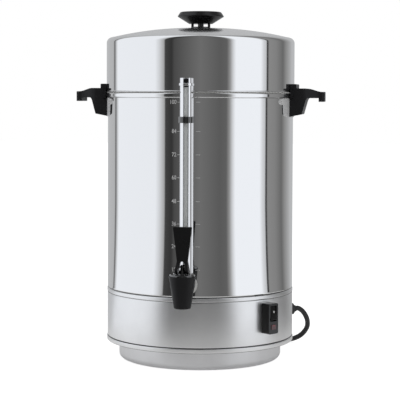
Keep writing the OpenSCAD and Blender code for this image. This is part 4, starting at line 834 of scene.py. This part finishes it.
class URN_OT_skirt(bpy.types.Operator):
    """Turns the base skirt with its rolled lower band, groove and stepped bead"""

    bl_idname = "urn.skirt"
    bl_label = "Base skirt"

    def execute(self, context):
        # The outline runs out along the lower ledge, up the outside and back along the upper ledge
        inner, ledge, lip = SKIRT_R - SKIRT_WALL, SKIRT_R - LEDGE_W, SKIRT_Z + SKIRT_WALL
        band_r, groove_r, step_r = SKIRT_R + BAND_OUT, SKIRT_R - GROOVE_IN, SKIRT_R + STEP_OUT
        band, step = SKIRT_Z + BAND_H, SEAM_Z - STEP_H
        skirt = lathe("skirt_wall", outline(
            (ledge, SKIRT_Z), (SKIRT_R - LEDGE_RING, SKIRT_Z),
            rounded((band_r, SKIRT_Z), BAND_ROLL, -90, 0, 6),
            rounded((band_r, band), BAND_EDGE, 0, 90, 5), (groove_r, band), (groove_r, band + GROOVE),
            rounded((SKIRT_R, band + GROOVE), GROOVE_EDGE, -90, 0, 4), (SKIRT_R, band + BAND_RING),
            (SKIRT_R, SKIRT_RING), (SKIRT_R, step - EDGE_RING), (SKIRT_R, step - GROOVE),
            (SKIRT_R - GROOVE_IN / 2, step - GROOVE / 2), rounded((step_r, step), GROOVE_EDGE, -90, 0, 4),
            rounded((step_r, SEAM_Z), STEP_ROLL, 0, 90, 6), (ledge, SEAM_Z), (ledge, SEAM_Z - SKIRT_WALL),
            (inner, SEAM_Z - SKIRT_WALL), (inner, lip), (ledge, lip)))
        dress(skirt, "satin_aluminium", "urn")
        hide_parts("base_skirt")
        return {"FINISHED"}


class URN_OT_lid(bpy.types.Operator):
    """Turns the deep lid with its dome, shoulder and notched flange"""

    bl_idname = "urn.lid"
    bl_label = "Lid"

    def execute(self, context):
        # The dome falls by the square of the way out from the knob's seat, and the inside is the same outline
        # one wall's thickness in
        corner_z, rim = LID_Z + LID_H, LID_R - LID_CORNER
        top_z, flange_z, inner = corner_z + LID_CROWN, LID_Z + LID_WALL, LID_R - LID_WALL
        notch_r, flange_top = LID_R + NOTCH_LIP, flange_z - FLANGE_EDGE
        r = np.linspace(rim, KNOB_SEAT_R, DOME_STEPS + 1)
        dome = np.stack([r, top_z - LID_CROWN * ((r - KNOB_SEAT_R) / (rim - KNOB_SEAT_R)) ** 2], -1)
        centre = (rim, corner_z - LID_CORNER)

        def notched(r, a):
            """Cuts the flange back to its lip for NOTCH_ANGLE each side of the handles."""
            from_handle = np.abs(np.degrees(np.arcsin(np.cos(a))))
            cut = (from_handle < NOTCH_ANGLE) & (r > notch_r * MM)
            return np.where(cut, notch_r * MM, r)

        lid = lathe("lid_cover", outline(
            (KNOB_HOLE_R, top_z), dome[::-1], arc(centre, LID_CORNER, CORNER_START, 0, CORNER_STEPS),
            (LID_R, LID_RING_HIGH), (LID_R, LID_RING_LOW), (LID_R, flange_z + FLANGE_FILLET),
            (notch_r, flange_z), (BEAD_R - FLANGE_EDGE, flange_z), (BEAD_R, flange_top),
            (BEAD_R, LID_Z + FLANGE_EDGE), (BEAD_R - FLANGE_EDGE, LID_Z), (inner, LID_Z),
            (inner, LID_RING_LOW), (inner, LID_RING_HIGH),
            arc(centre, LID_CORNER - LID_WALL, 0, CORNER_START, CORNER_STEPS), dome - (0, LID_WALL),
            (KNOB_HOLE_R, top_z - LID_WALL)), notched)
        dress(lid, "polished_aluminium", "lid")
        lid.data.materials.append(finish_named("spun_dome"))
        lid.data.materials.append(finish_named("etched_inside"))
        # Faces that look towards the flange's middle are the inside, and upward ones over the corner the dome
        centres, normals = per_face(lid, "center"), per_face(lid, "normal")
        inside = (normals * (centres - (0, 0, (LID_Z + LID_WALL / 2) * MM))).sum(1) < 0
        on_dome = (normals[:, 2] > DOME_UP) & (centres[:, 2] > centre[1] * MM)
        lid.data.polygons.foreach_set("material_index", np.where(inside, 2, on_dome))
        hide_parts("lid_shell", "lid_top")
        return {"FINISHED"}


# ------------------------ printing

def wrap_flat(points, azimuth, z, radius):
    """Bends flat printing round the wall: a point (x, y, t) goes to azimuth plus x over the radius, height
    z + y, and distance radius + t from the axis."""
    a = math.radians(azimuth) + points[:, 0] / radius
    r = radius + points[:, 2]
    return np.stack([r * np.sin(a), -r * np.cos(a), z + points[:, 1]], -1)


def flat_text(text, height):
    """Points and faces of a thin narrow number, its right edge at 0 and its middle at height 0."""
    curve = bpy.data.curves.new("digits", "FONT")
    curve.body = text
    curve.size = height / DIGIT_SHARE
    curve.offset = height * DIGIT_WEIGHT
    curve.extrude = INK_HALF
    curve.align_x = "RIGHT"
    curve.align_y = "CENTER"
    curve.resolution_u = 4
    holder = bpy.data.objects.new("digits", curve)
    bpy.context.scene.collection.objects.link(holder)
    mesh = bpy.data.meshes.new_from_object(holder.evaluated_get(bpy.context.evaluated_depsgraph_get()))
    points = np.zeros(len(mesh.vertices) * 3)
    mesh.vertices.foreach_get("co", points)
    faces = [tuple(face.vertices) for face in mesh.polygons]
    bpy.data.objects.remove(holder)
    return points.reshape(-1, 3) * (DIGIT_NARROW, 1, 1), faces


def flat_bar(length, height):
    """Points and faces of a thin bar, in enough steps to follow the wall: its four-cornered section at
    evenly spaced distances along x."""
    steps = 5
    section = np.array([(-1, -1), (1, -1), (1, 1), (-1, 1)]) * (height / 2, INK_HALF)
    along = np.repeat(np.linspace(0, length, steps + 1), 4)
    points = np.concatenate([along[:, None], np.tile(section, (steps + 1, 1))], 1)
    ends = [tuple(range(4)), tuple(range(4 * steps, 4 * steps + 4))]
    return points, ring_quads(steps + 1, 4) + ends


class URN_OT_scale(bpy.types.Operator):
    """Prints the cup numbers and their marks beside the gauge"""

    bl_idname = "urn.scale"
    bl_label = "Cup scale"

    def execute(self, context):
        # Each row is a number and a mark on the left and a mark on the right, wrapped round the wall
        shape = context.scene.urn_shape
        radius = TANK_R * MM + shape.ink_lift
        mark = flat_bar(shape.tick_length, MARK_HEIGHT)
        vertices, faces, count = [], [], 0
        for cups, z in CUP_MARKS.items():
            number = flat_text(str(cups), shape.digit_height)
            row = {DIGITS_AZ: number, LEFT_MARK_AZ: mark, RIGHT_MARK_AZ: mark}
            for azimuth, (points, part_faces) in row.items():
                vertices.append(wrap_flat(points, azimuth, z * MM, radius))
                faces += [[count + i for i in face] for face in part_faces]
                count += len(points)
        scale = settle("cup_scale", np.concatenate(vertices).tolist(), faces, smooth=False)
        dress(scale, "ink", "urn")
        return {"FINISHED"}


class URN_OT_rocker_mark(bpy.types.Operator):
    """Sets the pale dot into the rocker's upper half"""

    bl_idname = "urn.rocker_mark"
    bl_label = "Rocker mark"

    def execute(self, context):
        # Two circles, one DOT_RISE over the other, leaned back with the rocker's face at its azimuth
        a = np.arange(DOT_STEPS) * 2 * np.pi / DOT_STEPS
        across, up = DOT_R * np.cos(a), DOT_R * np.sin(a)
        rise, lean = np.array([[0], [DOT_RISE]]), math.radians(DOT_LEAN)
        z = DOT_Z + up * math.cos(lean) + rise * math.sin(lean)
        r = DOT_OUT + rise - up * math.sin(lean)
        points = at_azimuth(DOT_AZ, r, DOT_SIDE + across, z).reshape(-1, 3) * MM
        ends = [tuple(range(DOT_STEPS)), tuple(range(DOT_STEPS, 2 * DOT_STEPS))]
        mark = settle("rocker_mark", points.tolist(), ends + ring_quads(2, DOT_STEPS), smooth=False)
        dress(mark, "ink", "rocker")
        return {"FINISHED"}


# ------------------------ carried-over solids

# The solids that take each finish
SOLIDS = {
    "spun_aluminium": ["base_pan", "pan_floor", "coffee_basket", "basket_cover"],
    "bracket_satin": ["handle_bracket_left", "handle_bracket_right", "bracket_rivets"],
    "chrome_plate": ["gauge_guard", "gauge_collar", "plug_blades"],
    "stainless_steel": [
        "lid_knob_screw", "lid_knob_washer", "handle_screws", "faucet_spring", "faucet_lever_pin",
        "faucet_nut", "gauge_clip_screw", "pump_tube", "pump_foot", "pump_valve", "pump_chamber"],
    "zinc_steel": [
        "tie_posts", "pan_screws", "pump_heater", "heater_plate", "heater_nut", "warm_heater", "relief_nut"],
    "black_phenolic": ["lid_knob", "faucet_lever", "gauge_plug"],
    "dull_phenolic": ["handle_left", "handle_right", "faucet_body"],
    "glossy_phenolic": ["faucet_bonnet", "faucet_stem", "gauge_clip"],
    "switch_black": ["switch_housing", "switch_rocker"],
    "switch_grey": ["switch_module"],
    "silicone": ["lid_seal", "faucet_seat_cup", "faucet_gaskets", "gauge_seal"],
    "tube_glass": ["gauge_glass"],
    "lit_lens": ["switch_lamp_lens"],
    "terminal_cream": ["terminal_block"],
    "fuse_ceramic": ["brew_thermostat", "thermal_fuse"],
    "wire_sleeve": ["wiring"],
    "cord_rubber": ["strain_relief", "plug_body"],
}

# Solids whose sharp edges are rolled over, with the radius in millimetres
ROLLED = {
    "lid_knob": 0.5, "handle_left": 1.6, "handle_right": 1.6, "faucet_lever": 0.8, "switch_housing": 0.9,
    "switch_rocker": 0.5, "gauge_clip": 0.6, "faucet_body": 0.4, "strain_relief": 0.6, "plug_body": 0.8,
}


class URN_OT_solids(bpy.types.Operator):
    """Gives the solids their finishes, rolls moulded edges over and gives the spring a mesh of its own"""

    bl_idname = "urn.solids"
    bl_label = "Solids"

    def execute(self, context):
        for finish, nodes in SOLIDS.items():
            for piece in (NODES[node] for node in nodes):
                if not piece.material_slots:
                    piece.data.materials.append(None)
                for place in piece.material_slots:
                    place.material = finish_named(finish)
        for node, width in ROLLED.items():
            soften(node, width * MM)
        # The spring gets a mesh of its own
        spring = NODES["faucet_spring"]
        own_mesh(spring)
        return {"FINISHED"}


# ------------------------ add-on

class URN_PT_panel(bpy.types.Panel):
    """Lists the urn's sizes, finishes, studio and operators"""

    bl_label = "Coffee Urn"
    bl_idname = "URN_PT_panel"
    bl_space_type = "VIEW_3D"
    bl_region_type = "UI"
    bl_category = "Urn"

    def draw(self, context):
        for group in (context.scene.urn_shape, context.scene.urn_finish, context.scene.urn_stage):
            box = self.layout.box()
            for name in group.__annotations__:
                box.prop(group, name)
        for operator in OPERATORS:
            self.layout.operator(operator.bl_idname)


GROUPS = {"urn_shape": UrnShape, "urn_finish": UrnFinish, "urn_stage": UrnStage}
OPERATORS = [
    URN_OT_stage, URN_OT_cord, URN_OT_tank, URN_OT_skirt, URN_OT_lid, URN_OT_scale, URN_OT_rocker_mark,
    URN_OT_solids,
]
CLASSES = [*GROUPS.values(), *OPERATORS, URN_PT_panel]


def register():
    """Registers the classes and gives the scene its groups of properties."""
    for item in CLASSES:
        bpy.utils.register_class(item)
    for name, group in GROUPS.items():
        setattr(bpy.types.Scene, name, PointerProperty(type=group))


def unregister():
    """Takes back what register did, in the opposite order."""
    for name in GROUPS:
        delattr(bpy.types.Scene, name)
    for item in reversed(CLASSES):
        bpy.utils.unregister_class(item)


def main():
    register()
    for operator in OPERATORS:
        family, call = operator.bl_idname.split(".")
        getattr(getattr(bpy.ops, family), call)()


if __name__ == "__main__":
    main()
